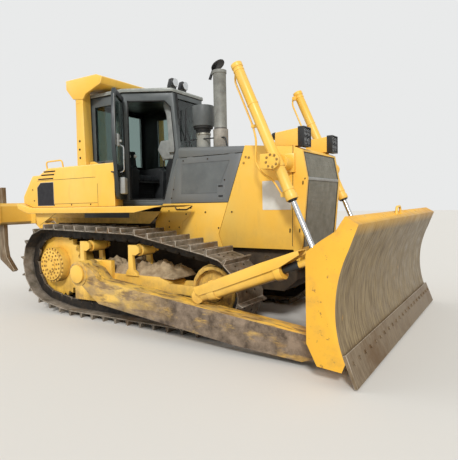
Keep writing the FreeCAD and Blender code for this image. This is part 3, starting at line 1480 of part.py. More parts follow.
def trunnion_yokes():
    """Bearing blocks that hold the lift cylinders' trunnions beside the guard."""
    reach = S.lift_pivot_reach
    height = S.lift_pivot_height
    near = S.lift_side - S.lift_bore_radius - 25
    far = S.lift_side + S.lift_bore_radius + 25
    drum = S.drum_side_count
    root_plate = box(reach - 150, reach + 90, S.hood_width / 2 + S.roller_play, S.hood_width / 2 + 35,
                     height - 105, height + 105)
    base = bar("y", reach, S.hood_width / 2 + 20, height, 88, near - S.hood_width / 2 - 20, drum)
    cheek = bar("y", reach, far, height, 88, 45, drum)
    arms = [box(reach - 135, reach - 40, start, end, height - 80, height + 80)
            for start, end in ((S.hood_width / 2 + 20, near), (far, far + 45))]
    strap = box(reach - 135, reach - 100, near - 20, far + 20, height - 80, height - 5)
    bore = bar_hole("y", reach, S.hood_width / 2 + 10, height, S.lift_trunnion_radius + S.pin_play, 600,
                    S.drum_side_count)
    yoke = cut(fuse(root_plate, base, cheek, strap, *arms), bore)
    node("trunnion_yokes", group(yoke, mirrored(yoke)))


# Ripper

def ripper():
    x = -S.rip_pivot_reach
    z = S.rip_pivot_height
    top = z + S.rip_spacing
    back_face = -S.case_rear - S.roller_play
    cheek = [(back_face, z - 170), (back_face, S.case_top), (x - 30, S.case_top),
             (x - 60, top - 40), (x - 60, z - 40), (x, z - 90)]
    plates = []
    pins = []
    for sign in (-1, 1):
        for offset in (-80, 50):
            y = S.rip_link_side * sign + offset
            plates.append(prism("side", cheek, y, y + 30))
        for height in (z, top):
            pins.append(bar("y", x, S.rip_link_side * sign - 60, height, S.rip_pin_radius, 120))
        for offset in (-105, 80):
            y = S.rip_cylinder_side * sign + offset
            plates.append(prism("side", cheek, y, y + 25))
        pins.append(bar("y", -S.rip_cylinder_reach, S.rip_cylinder_side * sign - 90, S.rip_cylinder_height,
                        S.rip_pin_radius, 180))
    back = box(-S.case_rear - 30, back_face, -S.rip_link_side - 80, S.rip_link_side + 80, z - 160, S.case_top - 40)
    node("ripper_bracket", fuse(back, *plates, *pins))
    run = S.rip_link_run
    rise = S.rip_link_rise
    lean = slope_angle(-run, rise)
    length = diagonal(run, rise)
    lower = []
    upper = []
    for sign in (-1, 1):
        y = S.rip_link_side * sign
        lower.append(moved(link_bar(length, 95, 90), x, y, z, (0, 1, 0), lean))
        upper.append(moved(link_bar(length, 60, 80), x, y, top, (0, 1, 0), lean))
    tie = moved(box(-40, 40, -S.rip_link_side, S.rip_link_side, length * 0.34, length * 0.34 + 120),
                x, 0, z, (0, 1, 0), lean)
    cross = moved(bar("y", 0, -S.rip_link_side, length * S.rip_cross_share, S.rip_cross_radius,
                      S.rip_link_side * 2), x, 0, z, (0, 1, 0), lean)
    node("ripper_link", fuse(tie, cross, *lower))
    node("ripper_upper_links", group(*upper))
    ripper_beam()
    ripper_cylinders()


def diagonal(run, rise):
    """The length of a sloping line."""
    return Size(math.hypot(float(run), float(rise)),
                "sqrt(%s * %s + %s * %s)" % (formula(run), formula(run), formula(rise), formula(rise)))


def link_bar(length, depth, width):
    """A bar with an eye at each end, along local Z."""
    middle = box(-depth / 2, depth / 2, -width / 2, width / 2, 0, length)
    eyes = [bar("y", 0, -width / 2, end, depth * 0.62, width) for end in (0, length)]
    bores = [rod("y", 0, -width / 2 - 5, end, S.rip_pin_radius + S.pin_play, width + 10) for end in (0, length)]
    return cut(fuse(middle, *eyes), *bores)


def ripper_beam():
    half = S.rip_beam_width / 2
    front = beam_pivot_x - S.rip_beam_set
    rear = front - S.rip_beam_depth
    low = beam_pivot_z - 60
    high = low + S.rip_beam_height
    outline = [(front, low + 50), (front, high - 50), (front - 60, high), (rear + 60, high),
               (rear, high - 70), (rear, low + 70), (rear + 60, low), (front - 60, low)]
    beam = prism("side", outline, -half, half)
    lip = S.rip_end_lip
    ends = [prism("side", [(front + lip, low + 40), (front + lip, high - 40), (front - 50, high + lip),
                           (rear + 50, high + lip), (rear - lip, high - 60), (rear - lip, low + 60),
                           (rear + 50, low - lip), (front - 50, low - lip)], y, y + 30) for y in (-half, half - 30)]
    pockets = []
    for y in shank_places():
        play = S.roller_play
        pockets.append(box(front - 60 - S.shank_depth - play, front - 60 + play, y - S.shank_width / 2 - play,
                           y + S.shank_width / 2 + play, low - 60, high + 60))
    ears = []
    pins = []
    for sign in (-1, 1):
        for offset in (-80, 50):
            y = S.rip_link_side * sign + offset
            ears.append(prism("side", [(front - 40, low + 10), (beam_pivot_x + 45, beam_pivot_z - 50),
                                       (beam_pivot_x + 55, beam_pivot_z + 30),
                                       (beam_pivot_x + 50, beam_pivot_z + S.rip_spacing + 40),
                                       (beam_pivot_x - 50, beam_pivot_z + S.rip_spacing + 50),
                                       (front - 60, high - 5), (front - 60, low + 60)], y, y + 30))
        for height in (beam_pivot_z, beam_pivot_z + S.rip_spacing):
            pins.append(bar("y", beam_pivot_x, S.rip_link_side * sign - 60, height, S.rip_pin_radius, 120))
    node("ripper_beam", cut(fuse(beam, *ends, *ears, *pins), *pockets))
    shanks = []
    for y in shank_places():
        back_x = front - 60 - S.shank_depth
        tip_z = low - S.shank_drop
        shank = prism("side", [(front - 60, high + S.shank_rise), (back_x, high + S.shank_rise),
                               (back_x, low - S.shank_drop + 420), (back_x + 60, tip_z + 190),
                               (back_x + 60 + S.shank_point, tip_z), (back_x + 110 + S.shank_point, tip_z + 30),
                               (front - 20, tip_z + 240), (front - 60, tip_z + 430)],
                      y - S.shank_width / 2, y + S.shank_width / 2)
        pin = bar("y", front - 60 - S.shank_depth / 2, y - S.shank_width / 2 - 25, high + 70, 24, S.shank_width + 50)
        shanks.append(fuse(shank, pin))
    node("ripper_shanks", group(*shanks))


def shank_places():
    count = int(float(S.shank_count))
    return [S.shank_pitch * (index - (count - 1) / 2) for index in range(count)]


def ripper_cylinders():
    """Two cylinders from the bracket to the tube across the lower links, with the beam raised."""
    eye_x = -S.rip_pivot_reach - S.rip_link_run * S.rip_cross_share
    eye_z = S.rip_pivot_height + S.rip_link_rise * S.rip_cross_share
    x = -S.rip_cylinder_reach
    z = S.rip_cylinder_height
    length = diagonal(eye_x - x, eye_z - z)
    lean = slope_angle(eye_x - x, eye_z - z)
    play = S.roller_play
    drum = S.drum_side_count
    barrels = []
    rods = []
    for sign in (-1, 1):
        y = S.rip_cylinder_side * sign
        barrel = cut(fuse(bar("z", 0, 0, 40, S.rip_bore_radius, length - 190, drum),
                          bar("z", 0, 0, length - 200, S.rip_bore_radius + 8, 60, drum),
                          bar("y", 0, -45, 0, 50, 90)),
                     rod("y", 0, -50, 0, S.rip_pin_radius + S.pin_play, 100),
                     bar_hole("z", 0, 0, 60, S.rip_rod_radius + play, length))
        barrels.append(moved(barrel, x, y, z, (0, 1, 0), lean))
        stem = cut(fuse(rod("z", 0, 0, 65, S.rip_rod_radius, length - 115),
                        bar("y", 0, -40, length, S.rip_eye_radius, 80, drum)),
                   bar("y", 0, -50, length, S.rip_cross_radius + S.rip_eye_play, 100, drum))
        rods.append(moved(stem, x, y, z, (0, 1, 0), lean))
    node("ripper_barrels", group(*barrels))
    node("ripper_rods", group(*rods))


def build():
    undercarriage()
    main_frame()
    hood()
    radiator_guard()
    cab()
    cab_inside()
    rops()
    cab_lamps()
    stacks()
    fenders()
    tanks()
    blade()
    blade_struts()
    lift_cylinders()
    trunnion_yokes()
    ripper()


def check_and_write():
    DOC.recompute()
    broken = [obj.Name for obj in DOC.Objects if "Invalid" in obj.State or "Error" in obj.State]
    if broken:
        raise RuntimeError("objects that failed: %s" % ", ".join(broken))
    os.makedirs("parts", exist_ok=True)
    for name, piece in NODES:
        shape = piece.Shape
        if shape.isNull() or not shape.isValid() or not shape.Solids:
            raise RuntimeError("%s has no valid solid" % name)
        shape.exportStep("parts/%s.step" % name)


build()
check_and_write()
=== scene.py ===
"""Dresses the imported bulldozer: paint, glass, steel, fasteners, lamps, pipes and the seat."""

import json
import math

import bmesh
import bpy
from mathutils import Matrix, Vector, noise


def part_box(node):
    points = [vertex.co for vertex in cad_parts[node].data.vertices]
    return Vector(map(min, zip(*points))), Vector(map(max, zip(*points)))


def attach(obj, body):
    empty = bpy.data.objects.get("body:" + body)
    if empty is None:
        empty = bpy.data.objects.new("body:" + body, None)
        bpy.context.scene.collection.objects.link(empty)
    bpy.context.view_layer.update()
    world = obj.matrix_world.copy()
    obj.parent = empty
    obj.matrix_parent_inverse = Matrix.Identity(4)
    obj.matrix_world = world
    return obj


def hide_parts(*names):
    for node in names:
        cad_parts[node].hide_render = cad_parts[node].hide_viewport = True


bl_info = {
    "name": "Bulldozer dressing",
    "version": (1, 0, 0),
    "blender": (4, 5, 0),
    "location": "View3D > Sidebar > Bulldozer",
    "description": "Finishes a crawler bulldozer piece by piece",
    "category": "Object",
}

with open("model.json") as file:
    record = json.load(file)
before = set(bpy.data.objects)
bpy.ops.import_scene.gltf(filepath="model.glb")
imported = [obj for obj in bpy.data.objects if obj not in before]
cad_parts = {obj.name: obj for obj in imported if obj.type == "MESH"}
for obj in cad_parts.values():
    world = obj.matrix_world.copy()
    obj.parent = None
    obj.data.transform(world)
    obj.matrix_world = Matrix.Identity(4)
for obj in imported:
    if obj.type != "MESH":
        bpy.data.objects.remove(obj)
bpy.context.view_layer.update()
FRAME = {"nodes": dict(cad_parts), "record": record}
BODY_OF = {node: body for body, nodes in FRAME["record"]["behaviour"]["bodies"].items() for node in nodes}
AXLE = sum(corner.x for corner in map(Vector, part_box("sprockets"))) / 2
SIDES = (("right", -1), ("left", 1))

# Distances from the machine's middle, in millimetres
HOOD_SIDE = 550
TANK_SIDE = 1200
TRACK_MIDDLE = 1000
LIFT_SIDE = 845
STRUT_SIDE = 1475
ARM_SIDE = 1600


def at(x, y, z):
    """A place given in millimetres from the sprocket axle, as the drawing does."""
    return Vector((AXLE + x / 1000, y / 1000, z / 1000))


def rectangle(x0, x1, z0, z1):
    return [(x0, z0), (x1, z0), (x1, z1), (x0, z1)]


# Materials

def linear(text):
    """An sRGB hex colour as linear RGBA."""
    parts = [int(text[i:i + 2], 16) / 255 for i in (1, 3, 5)]
    return tuple(c / 12.92 if c <= 0.04045 else ((c + 0.055) / 1.055) ** 2.4 for c in parts) + (1.0,)


def add(tree, kind, inputs=None, **settings):
    """Add a node with its settings; each input takes a value, or a socket to link."""
    node = tree.nodes.new(kind)
    for name, value in settings.items():
        setattr(node, name, value)
    feed(tree, node, inputs or {})
    return node


def feed(tree, node, inputs):
    for name, value in inputs.items():
        if isinstance(value, bpy.types.NodeSocket):
            tree.links.new(value, node.inputs[name])
        else:
            node.inputs[name].default_value = value


def reckon(tree, operation, *numbers):
    """One sum on sockets and numbers."""
    return add(tree, "ShaderNodeMath", dict(enumerate(numbers)), operation=operation).outputs[0]


class Finish:
    """A material in the making, with the colour reached so far."""

    def __init__(self, name, speckle=None, first=None, second=None):
        self.material = bpy.data.materials.new(name)
        self.material.use_nodes = True
        self.tree = self.material.node_tree
        self.tree.nodes.clear()
        self.shader = add(self.tree, "ShaderNodeBsdfPrincipled")
        add(self.tree, "ShaderNodeOutputMaterial", {"Surface": self.shader.outputs["BSDF"]})
        self.place = self.add("ShaderNodeTexCoord", output="Object")
        if speckle:
            self.colour = self.blend(self.between(speckle, 0.35, 0.65), first, second)

    def add(self, kind, inputs=None, output=0, **settings):
        """Add a node, and give one of its outputs."""
        return add(self.tree, kind, inputs, **settings).outputs[output]

    def parts(self, vector):
        return add(self.tree, "ShaderNodeSeparateXYZ", {"Vector": vector}).outputs

    @property
    def where(self):
        return self.parts(self.place)

    @property
    def normal(self):
        return self.add("ShaderNodeNewGeometry", output="Normal")

    @property
    def facing(self):
        return self.parts(self.normal)

    def grain(self, size_mm, detail=4.0, rough=0.55, stretch=None):
        """A noise whose largest features are about the given size."""
        vector = self.place
        if stretch:
            vector = self.add("ShaderNodeMapping", {"Vector": vector, "Scale": stretch})
        return self.add("ShaderNodeTexNoise", {
            "Vector": vector, "Scale": 1000.0 / size_mm, "Detail": detail, "Roughness": rough}, "Fac")

    def between(self, value, low, high, to_low=0.0, to_high=1.0):
        """Stretch low..high onto another range and clip it there; a tuple stands for a noise."""
        if isinstance(value, tuple):
            value = self.grain(*value)
        return self.add("ShaderNodeMapRange", {
            "Value": value, "From Min": low, "From Max": high, "To Min": to_low, "To Max": to_high}, "Result")

    def blend(self, share, first, second):
        """One colour over another; each is a hex text or a socket."""
        first, second = (linear(c) if isinstance(c, str) else c for c in (first, second))
        return self.add("ShaderNodeMix", {"Factor": share, 6: first, 7: second}, 2, data_type="RGBA")

    def reckon(self, operation, *numbers):
        return reckon(self.tree, operation, *numbers)

    def product(self, first, second):
        return self.reckon("MULTIPLY", first, second)

    def coat(self, share, colour):
        """Lay a colour over what is there."""
        self.colour = self.blend(share, self.colour, colour)

    def rub_and_highlight(self, share, colour):
        """Paint the narrow faces of broken edges in a colour: worn paint, and a painted edge highlight where the
        colour is lighter than the paint.
        """
        edge = self.add("ShaderNodeAttribute", None, "Fac", attribute_name="edge")
        self.coat(self.product(edge, share), colour)

    def shaded(self, inputs):
        """Give the shader its inputs, and hand over the material."""
        feed(self.tree, self.shader, inputs)
        return self.material

    def finished(self, roughness, metallic, height, depth_mm, strength):
        bump = self.add("ShaderNodeBump", {"Strength": strength, "Distance": depth_mm / 1000, "Height": height})
        return self.shaded({
            "Base Color": self.colour, "Metallic": metallic, "Roughness": roughness, "Normal": bump})


def enamel(name, fresh, faded, dust, splash_top=1.35, splash=0.75, worn="#F3D083", streaks=0.22, below=None,
           underside_shade=None):
    """Sprayed machine enamel: chalky where the sun has faded it, mud-splashed lower down, chipped in spots."""
    new = Finish(name, (700, 3), fresh, faded)
    height = new.where["Z"]
    if below:
        # A second enamel under a line
        line, low_fresh, low_faded = below
        low = new.blend(new.between((500, 3), 0.35, 0.65), low_fresh, low_faded)
        new.coat(new.between(height, line + 0.001, line - 0.001), low)
    new.coat(new.between((90, 5, 0.6, (1.0, 1.0, 0.18)), 0.56, 0.80, 0.0, streaks), dust)
    splashed = new.between(height, splash_top, 0.15, 0.0, splash)
    mud = new.product(splashed, new.between((260, 8, 0.7), 0.40, 0.62))
    new.coat(mud, dust)
    new.coat(new.between((30, 6, 0.62), 0.715, 0.745, 0.0, 0.8), "#6A4A2C")
    # Broken edges take the given colour: rubbed wear, and a painted highlight where it is lighter than the paint
    new.rub_and_highlight(new.between((60, 5, 0.6), 0.38, 0.60, 0.0, 0.7), worn)
    # Painted shade under overhangs: faces that look down, low on the machine, are darkened as if in shadow
    down = new.facing["Z"]
    low = new.between(height, 1.65, 1.45, 0.0, 0.85)
    new.coat(new.product(new.between(down, -0.55, -0.9), low), "#33281A")
    # Painted shade: faces that look down take a near-black colour, as under the roof's overhang
    if underside_shade:
        new.coat(new.between(down, -0.4, -0.6), underside_shade)
    matt = new.reckon("ADD", new.between((160, 6), 0.3, 0.7, 0.32, 0.52), mud)
    # Orange peel is about 3 mm wide, too fine to show, so it is drawn at 12 mm
    peel = new.reckon("MULTIPLY_ADD", mud, 4.0, new.grain(12, 2))
    return new.finished(new.reckon("MINIMUM", matt, 0.95), 0.0, peel, 0.5, 0.35)


def plain(name, first, second, size_mm, rough, metallic=0.0, bump_mm=0.2, bump_size=8, worn=None):
    """A two-tone finish with its own grain: plastics, rubber, castings and bare metal."""
    new = Finish(name, (size_mm, 6, 0.6), first, second)
    # Broken edges take the given colour: rubbed wear, and a painted highlight where it is lighter than the paint
    if worn:
        new.rub_and_highlight(new.between((40, 5, 0.6), 0.40, 0.60, 0.0, 0.8), worn)
    matt = new.between((size_mm * 0.6, 5), 0.3, 0.7, *rough)
    return new.finished(matt, metallic, new.grain(bump_size, 3), bump_mm, 0.5)


def shoe_steel(name):
    """Rolled shoe steel: grey-brown dried clay, scoured pale along the bars and partly lit there by a painted
    highlight, with black link rails that are greasy and also painted as shade, and the upper run's undersides
    painted dark as shade.
    """
    new = Finish(name, (120, 6, 0.65), "#4F4636", "#857A6C")
    new.coat(new.between((330, 8, 0.7), 0.50, 0.64), "#6B553C")
    # Broken edges are painted lighter: partly scoured wear, partly a painted highlight
    new.rub_and_highlight(new.between((50, 5), 0.35, 0.55, 0.2, 0.9), "#B4AA9B")
    facing, where = new.facing, new.where
    # Painted shade: the rails' black is partly grease and partly shade, and faces that look down on the upper run
    # take it as shade alone
    off = new.reckon("SUBTRACT", new.reckon("ABSOLUTE", where["Y"]), TRACK_MIDDLE / 1000)
    rails = new.product(new.between(new.reckon("ABSOLUTE", off), 0.15, 0.14),
                        new.between(new.reckon("ABSOLUTE", facing["Y"]), 0.3, 0.5))
    shaded_undersides = new.product(new.between(facing["Z"], -0.25, -0.4), new.between(where["Z"], 0.55, 0.70))
    grease_and_shade = new.blend(new.between((60, 5), 0.4, 0.65), "#15110C", "#30261A")
    new.coat(new.reckon("MAXIMUM", rails, shaded_undersides), grease_and_shade)
    return new.finished(new.between((80, 5), 0.3, 0.7, 0.55, 0.9), 0.15, new.grain(45, 8, 0.7), 3.0, 0.6)


def caked_enamel(name, fresh, faded):
    """Push arm enamel: bright on top under a thin film, its outer side scraped and caked with grey clay."""
    new = Finish(name, (600, 4), fresh, faded)
    new.coat(new.between((170, 8, 0.68, (0.6, 1.4, 1.0)), 0.44, 0.60, 0.0, 0.75), "#A88E66")
    new.coat(new.between((60, 6, 0.6, (0.25, 1.0, 1.0)), 0.50, 0.62, 0.0, 0.8), "#6B4E30")
    facing, where = new.facing, new.where
    # Clay lies thicker towards the blade and near the ground
    reach = new.reckon("MAXIMUM", new.between(where["X"], AXLE + 1.7, AXLE + 2.6, 0.42, 1.0),
                       new.between(where["Z"], 0.52, 0.24))
    caked = new.product(new.between(new.reckon("ABSOLUTE", facing["Y"]), 0.5, 0.8), reach)
    caked = new.product(caked, new.between((380, 7, 0.65, (0.5, 1.0, 1.3)), 0.30, 0.46))
    new.coat(caked, new.blend(new.between((140, 8, 0.7), 0.36, 0.62), "#4E4134", "#8C7A67"))
    # Painted shade: faces that look down are darkened as if in shadow
    new.coat(new.between(facing["Z"], -0.4, -0.8), "#2F261C")
    lumps = new.reckon("MULTIPLY_ADD", caked, 2.0, new.grain(30, 8, 0.7))
    return new.finished(new.between(caked, 0.0, 1.0, 0.45, 0.9), 0.0, lumps, 2.0, 0.5)


def window_glass(name, tint):
    """Tinted tempered glass: clear to look through, with a faint green edge and a dust film."""
    new = Finish(name)
    return new.shaded({"Base Color": linear(tint), "Transmission Weight": 1.0, "IOR": 1.45,
                       "Roughness": new.between((300, 6), 0.35, 0.7, 0.02, 0.14)})


def hard_chrome(name):
    """Ground and hard-chromed rod: mirror-bright with fine oil film."""
    new = Finish(name)
    film = new.grain(60, 4)
    return new.shaded({"Base Color": new.blend(new.between(film, 0.4, 0.7), "#D9DADB", "#B4B1AA"),
                       "Roughness": new.between(film, 0.3, 0.7, 0.10, 0.24), "Metallic": 1.0})


def scoured_steel(name):
    """Plate polished by soil: long scratches along the push, rust in the scratches' lee."""
    new = Finish(name, (60, 6, 0.65, (1.0, 3.0, 0.25)), "#6E5C45", "#94836B")
    scratches = new.grain(60, 6, 0.65, (1.0, 3.0, 0.25))
    new.coat(new.between((420, 7, 0.65), 0.45, 0.62, 0.0, 0.85), "#6A5032")
    # Broken edges are painted lighter: partly scoured wear, partly a painted highlight
    new.rub_and_highlight(new.between(scratches, 0.3, 0.6), "#B8AD9C")
    return new.finished(new.between(scratches, 0.3, 0.7, 0.42, 0.7), 0.45, scratches, 1.0, 0.4)


def blade_paint(name, fresh, faded):
    """Blade: yellow enamel behind and above, worn through to brown steel on the rolled front face."""
    new = Finish(name, (600, 4), fresh, faded)
    new.coat(new.between((55, 7, 0.65), 0.62, 0.67, 0.0, 0.85), "#8A6334")
    new.coat(new.between((240, 7, 0.65), 0.55, 0.72, 0.0, 0.45), "#B48B46")
    # The crest keeps more of its paint
    below_crest = new.between(new.where["Z"], 1.36, 1.22, 0.35, 1.0)
    front = new.product(new.between(new.facing["X"], 0.45, 0.65), below_crest)
    scratches = new.grain(80, 7, 0.7, (1.0, 3.0, 0.3))
    new.coat(new.product(front, new.between((500, 8, 0.62), 0.20, 0.34)),
             new.blend(new.between(scratches, 0.34, 0.64), "#5A4832", "#96835F"))
    # Broken edges are painted lighter: partly worn paint, partly a painted highlight
    new.rub_and_highlight(new.between((70, 5), 0.4, 0.6, 0.0, 0.8), "#B9A076")
    return new.finished(new.between((150, 5), 0.3, 0.7, 0.42, 0.68), 0.0, scratches, 0.8, 0.4)


def cab_enamel(name, outside, faded, inside):
    """Cab shell: satin grey enamel outside, near-black on the faces that look at the driver."""
    new = Finish(name, (400, 5), outside, faded)
    # Broken edges are painted lighter: partly worn paint, partly a painted highlight
    new.rub_and_highlight(new.between((60, 5), 0.4, 0.6, 0.0, 0.7), "#8A8F8C")
    driver = at(900, 0, 2350)
    away = new.add("ShaderNodeVectorMath", {0: new.place, 1: driver}, operation="SUBTRACT")
    outward = new.add("ShaderNodeVectorMath", {0: new.normal, 1: away}, "Value", operation="DOT_PRODUCT")
    new.coat(new.between(outward, 0.02, -0.02), inside)
    return new.finished(new.between((120, 5), 0.3, 0.7, 0.38, 0.58), 0.0, new.grain(14, 2), 0.3, 0.35)


def layered(name, bands, size_mm, rough, metallic=0.0):
    """A turned piece whose finish changes with height; each band is (top in mm, first hex, second hex)."""
    new = Finish(name)
    height = new.where["Z"]
    shade = new.between((size_mm, 7, 0.65), 0.34, 0.66)
    new.colour = new.blend(shade, *bands[0][1:])
    for (top, _, _), (_, first, second) in zip(bands, bands[1:]):
        joint = top / 1000
        new.coat(new.between(height, joint - 0.002, joint + 0.002), new.blend(shade, first, second))
    matt = new.between((size_mm * 0.5, 5), 0.3, 0.7, *rough)
    return new.finished(matt, metallic, new.grain(22, 5, 0.65), 1.2, 0.4)


MATERIALS = {}
YELLOW = ("#F2BC44", "#EFC35C")
GREY = ("#66696A", "#707270")


def make_materials():
    MATERIALS.update({
        # Enamels: even satin sheen, broken by mud, chips and rubbed edges
        "yellow": enamel("sprayed yellow enamel", *YELLOW, "#B08A50"),
        "yellow_low": enamel("yellow enamel under mud", *YELLOW, "#8C7052", 0.80, 0.95, "#A07C4A"),
        "drive_yellow": enamel("final drive enamel", *YELLOW, "#8A6A40", 0.95, 0.6, "#8A6A40", 0.5),
        # Heavy mud that also stands in for shade on the idlers and the panel under the fender
        "idler_yellow": enamel("idler enamel under mud and painted shade", *YELLOW, "#7A6244", 2.2, 1.0, "#8A7454", 0.6),
        "arm_yellow": caked_enamel("push arm enamel under dried clay", *YELLOW),
        "blade_yellow": blade_paint("blade enamel worn to steel", "#EFB532", "#E6A930"),
        "grey": enamel("sprayed grey enamel", *GREY, "#8C8472", 1.2, 0.3, "#9A9C98", 0.15),
        "cowl": enamel("grey enamel over yellow skirts", *GREY, "#8C8472", worn="#C9B98A", streaks=0.15,
                       below=(1.517, *YELLOW)),
        # The roof's downward faces are painted near-black as shade
        "pale_grey": enamel("pale grey roof enamel", "#7C807A", "#8E918B", "#8C8472", 1.2, 0.3, "#B4B7B0",
                            underside_shade="#191B1B"),
        "cab": cab_enamel("satin cab enamel", "#4A4F50", "#5A5F5E", "#101111"),
        "door": cab_enamel("satin door enamel", "#23292B", "#2F3637", "#1A1E20"),
        "black": plain("black enamel", "#17181A", "#242526", 120, (0.35, 0.55), worn="#55524B"),
        # Mouldings, rubber and cover cloth: dull, with soft wide highlights
        "trim_grey": plain("pale moulded cab trim", "#8D8F8C", "#A3A5A1", 120, (0.5, 0.7), 0.0, 0.3, 6),
        "trim_plastic": plain("moulded cab plastic", "#1D1F20", "#2A2C2D", 80, (0.5, 0.7), 0.0, 0.3, 6),
        "rubber": plain("rubber seal", "#121212", "#1E1E1D", 60, (0.6, 0.8)),
        "vinyl": plain("seat vinyl", "#17181A", "#232427", 50, (0.45, 0.65), 0.0, 0.4, 7),
        "plate_black": plain("blank black plate", "#0B0911", "#131118", 90, (0.6, 0.75)),
        "plate_white": plain("blank white plate", "#D9D8D0", "#CFCDC2", 90, (0.35, 0.5)),
        # Working steel: dark grease and dry clay, bright only where it rubs
        "shoe_steel": shoe_steel("rolled shoe steel with clay"),
        "roller_steel": plain(
            "greasy forged steel", "#2C241B", "#54432F", 90, (0.4, 0.75), 0.3, 1.0, 30, "#8A7A64"),
        # Dirt and painted shade: the main frame and cross members are painted dark as they stand in shadow
        "grime": plain("road grime over steel", "#241C12", "#4A3C2B", 260, (0.8, 0.95), 0.0, 3.0, 60),
        "clay": plain("packed dried clay", "#8A7558", "#B39D7C", 90, (0.85, 0.95), 0.0, 6.0, 45),
        "scoured": scoured_steel("scoured cutting edge steel"),
        "cast_iron": plain("oily cast iron", "#2A2A28", "#3B3833", 70, (0.5, 0.8), 0.3, 0.8, 12),
        "chrome": hard_chrome("hard chromed rod"),
        "glass": window_glass("tempered cab glass", "#869994"),
        # Sheet metal of the stacks, darker at the welded joint or the strap
        "exhaust": layered("heat-stained exhaust steel", (
            (2450, "#78736A", "#A39D93"), (2470, "#4A4844", "#5E5B56"), (9000, "#6E6D68", "#92938C")), 120,
            (0.5, 0.75), 0.35),
        "cleaner": layered("moulded air cleaner", (
            (2420, "#7F807A", "#9A9A92"), (2512, "#141515", "#232424"), (9000, "#484B4A", "#5C605F")), 180,
            (0.5, 0.7)),
        # Small metal: bolts, wires and lamp bowls, each with its own glint
        "painted_bolt": plain("painted bolt rubbed dark", "#B98E3C", "#7A5C30", 25, (0.5, 0.7)),
        "dark_bolt": plain("oiled black bolt", "#2E2517", "#4A3B26", 20, (0.5, 0.7), 0.4),
        "zinc": plain("zinc-plated strap", "#8C8A80", "#A6A294", 20, (0.35, 0.6), 0.7),
        "dull_bowl": plain("clouded lamp bowl", "#6F7172", "#8C8E8E", 40, (0.3, 0.5), 0.4),
        "reflector": plain("lamp reflector", "#C9CBCB", "#D6D8D8", 30, (0.12, 0.25), 0.9),
        "mesh": plain("woven radiator guard mesh", "#7E7C70", "#918F83", 120, (0.5, 0.75)),
        "mesh_grey": plain("woven engine door mesh", "#5C6061", "#676B6B", 160, (0.55, 0.75), 0.0, 1.0, 14),
        "slats": plain("dusty black slats", "#38372F", "#4E4C43", 150, (0.6, 0.8)),
    })


# Shapes

def mesh_object(name, mesh):
    piece = bpy.data.objects.new(name, mesh)
    bpy.context.scene.collection.objects.link(piece)
    return piece


def plain_mesh(piece):
    """The mesh that a piece's modifiers or curve settings give."""
    graph = bpy.context.evaluated_depsgraph_get()
    return bpy.data.meshes.new_from_object(piece.evaluated_get(graph), depsgraph=graph)


def settled(piece, smooth=38):
    """Apply a piece's modifiers and give it smooth shading between sharp edges."""
    mesh = plain_mesh(piece)
    piece.modifiers.clear()
    piece.data = mesh
    mesh.polygons.foreach_set("use_smooth", [True] * len(mesh.polygons))
    mesh.set_sharp_from_angle(angle=math.radians(smooth))
    return piece


def softened(piece, width_mm, segments):
    """Break a piece's edges, and mark the new narrow faces for the wear and the painted edge highlight in its
    paint.
    """
    piece.data.materials.clear()
    for name in ("flat", "broken edge"):
        piece.data.materials.append(bpy.data.materials.get(name) or bpy.data.materials.new(name))
    bevel = piece.modifiers.new("broken edges", "BEVEL")
    bevel.width = width_mm / 1000
    bevel.segments = segments
    bevel.limit_method = "ANGLE"
    bevel.angle_limit = math.radians(40)
    bevel.material = 1
    mesh = settled(piece).data
    index = [0] * len(mesh.polygons)
    mesh.polygons.foreach_get("material_index", index)
    mesh.attributes.new("edge", "FLOAT", "FACE").data.foreach_set("value", [float(i) for i in index])
    mesh.polygons.foreach_set("material_index", [0] * len(index))


def finish_piece(piece, body, material, *replaces):
    """Hand a piece to the frame: its body, its material, the node that it stands for."""
    piece.data.materials.clear()
    piece.data.materials.append(MATERIALS[material])
    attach(piece, body)
    if replaces:
        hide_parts(*replaces)


def dressed(node, material, bevel_mm, segments=2):
    """A node's own shape with its edges broken, as plate and castings have them."""
    mesh = FRAME["nodes"][node].data.copy()
    shape = bmesh.new()
    shape.from_mesh(mesh)
    bmesh.ops.remove_doubles(shape, verts=shape.verts, dist=2e-5)
    bmesh.ops.dissolve_limit(shape, angle_limit=math.radians(0.5), verts=shape.verts, edges=shape.edges)
    shape.to_mesh(mesh)
    shape.free()
    piece = mesh_object(node + "_finish", mesh)
    if bevel_mm:
        softened(piece, bevel_mm, segments)
    else:
        settled(piece)
    finish_piece(piece, BODY_OF[node], material, node)


def dress(*rows):
    for row in rows:
        dressed(*row)


def new_mesh(name, build):
    """A mesh filled in by a function that gets an empty bmesh."""
    shape = bmesh.new()
    build(shape)
    bmesh.ops.recalc_face_normals(shape, faces=shape.faces)
    mesh = bpy.data.meshes.new(name)
    shape.to_mesh(mesh)
    shape.free()
    return mesh


def made(name, build, material, width_mm=2.0, segments=2, body="machine"):
    """A piece built by a function, with its edges broken."""
    piece = mesh_object(name, new_mesh(name, build))
    softened(piece, width_mm, segments)
    finish_piece(piece, body, material)


def block(shape, low, high):
    """A box between two corners, added to a bmesh."""
    verts = bmesh.ops.create_cube(shape, size=1.0)["verts"]
    bmesh.ops.scale(shape, vec=high - low, verts=verts)
    bmesh.ops.translate(shape, vec=(low + high) / 2, verts=verts)
    return verts


def drum(shape, start, end, radius, end_radius, sides=32):
    """A closed cylinder or cone between two points, its radii in metres."""
    axis = end - start
    verts = bmesh.ops.create_cone(shape, cap_ends=True, segments=sides, radius1=radius, radius2=end_radius,
                                  depth=axis.length)["verts"]
    turn = axis.to_track_quat("Z", "Y").to_matrix().to_4x4()
    bmesh.ops.transform(shape, matrix=Matrix.Translation((start + end) / 2) @ turn, verts=verts)


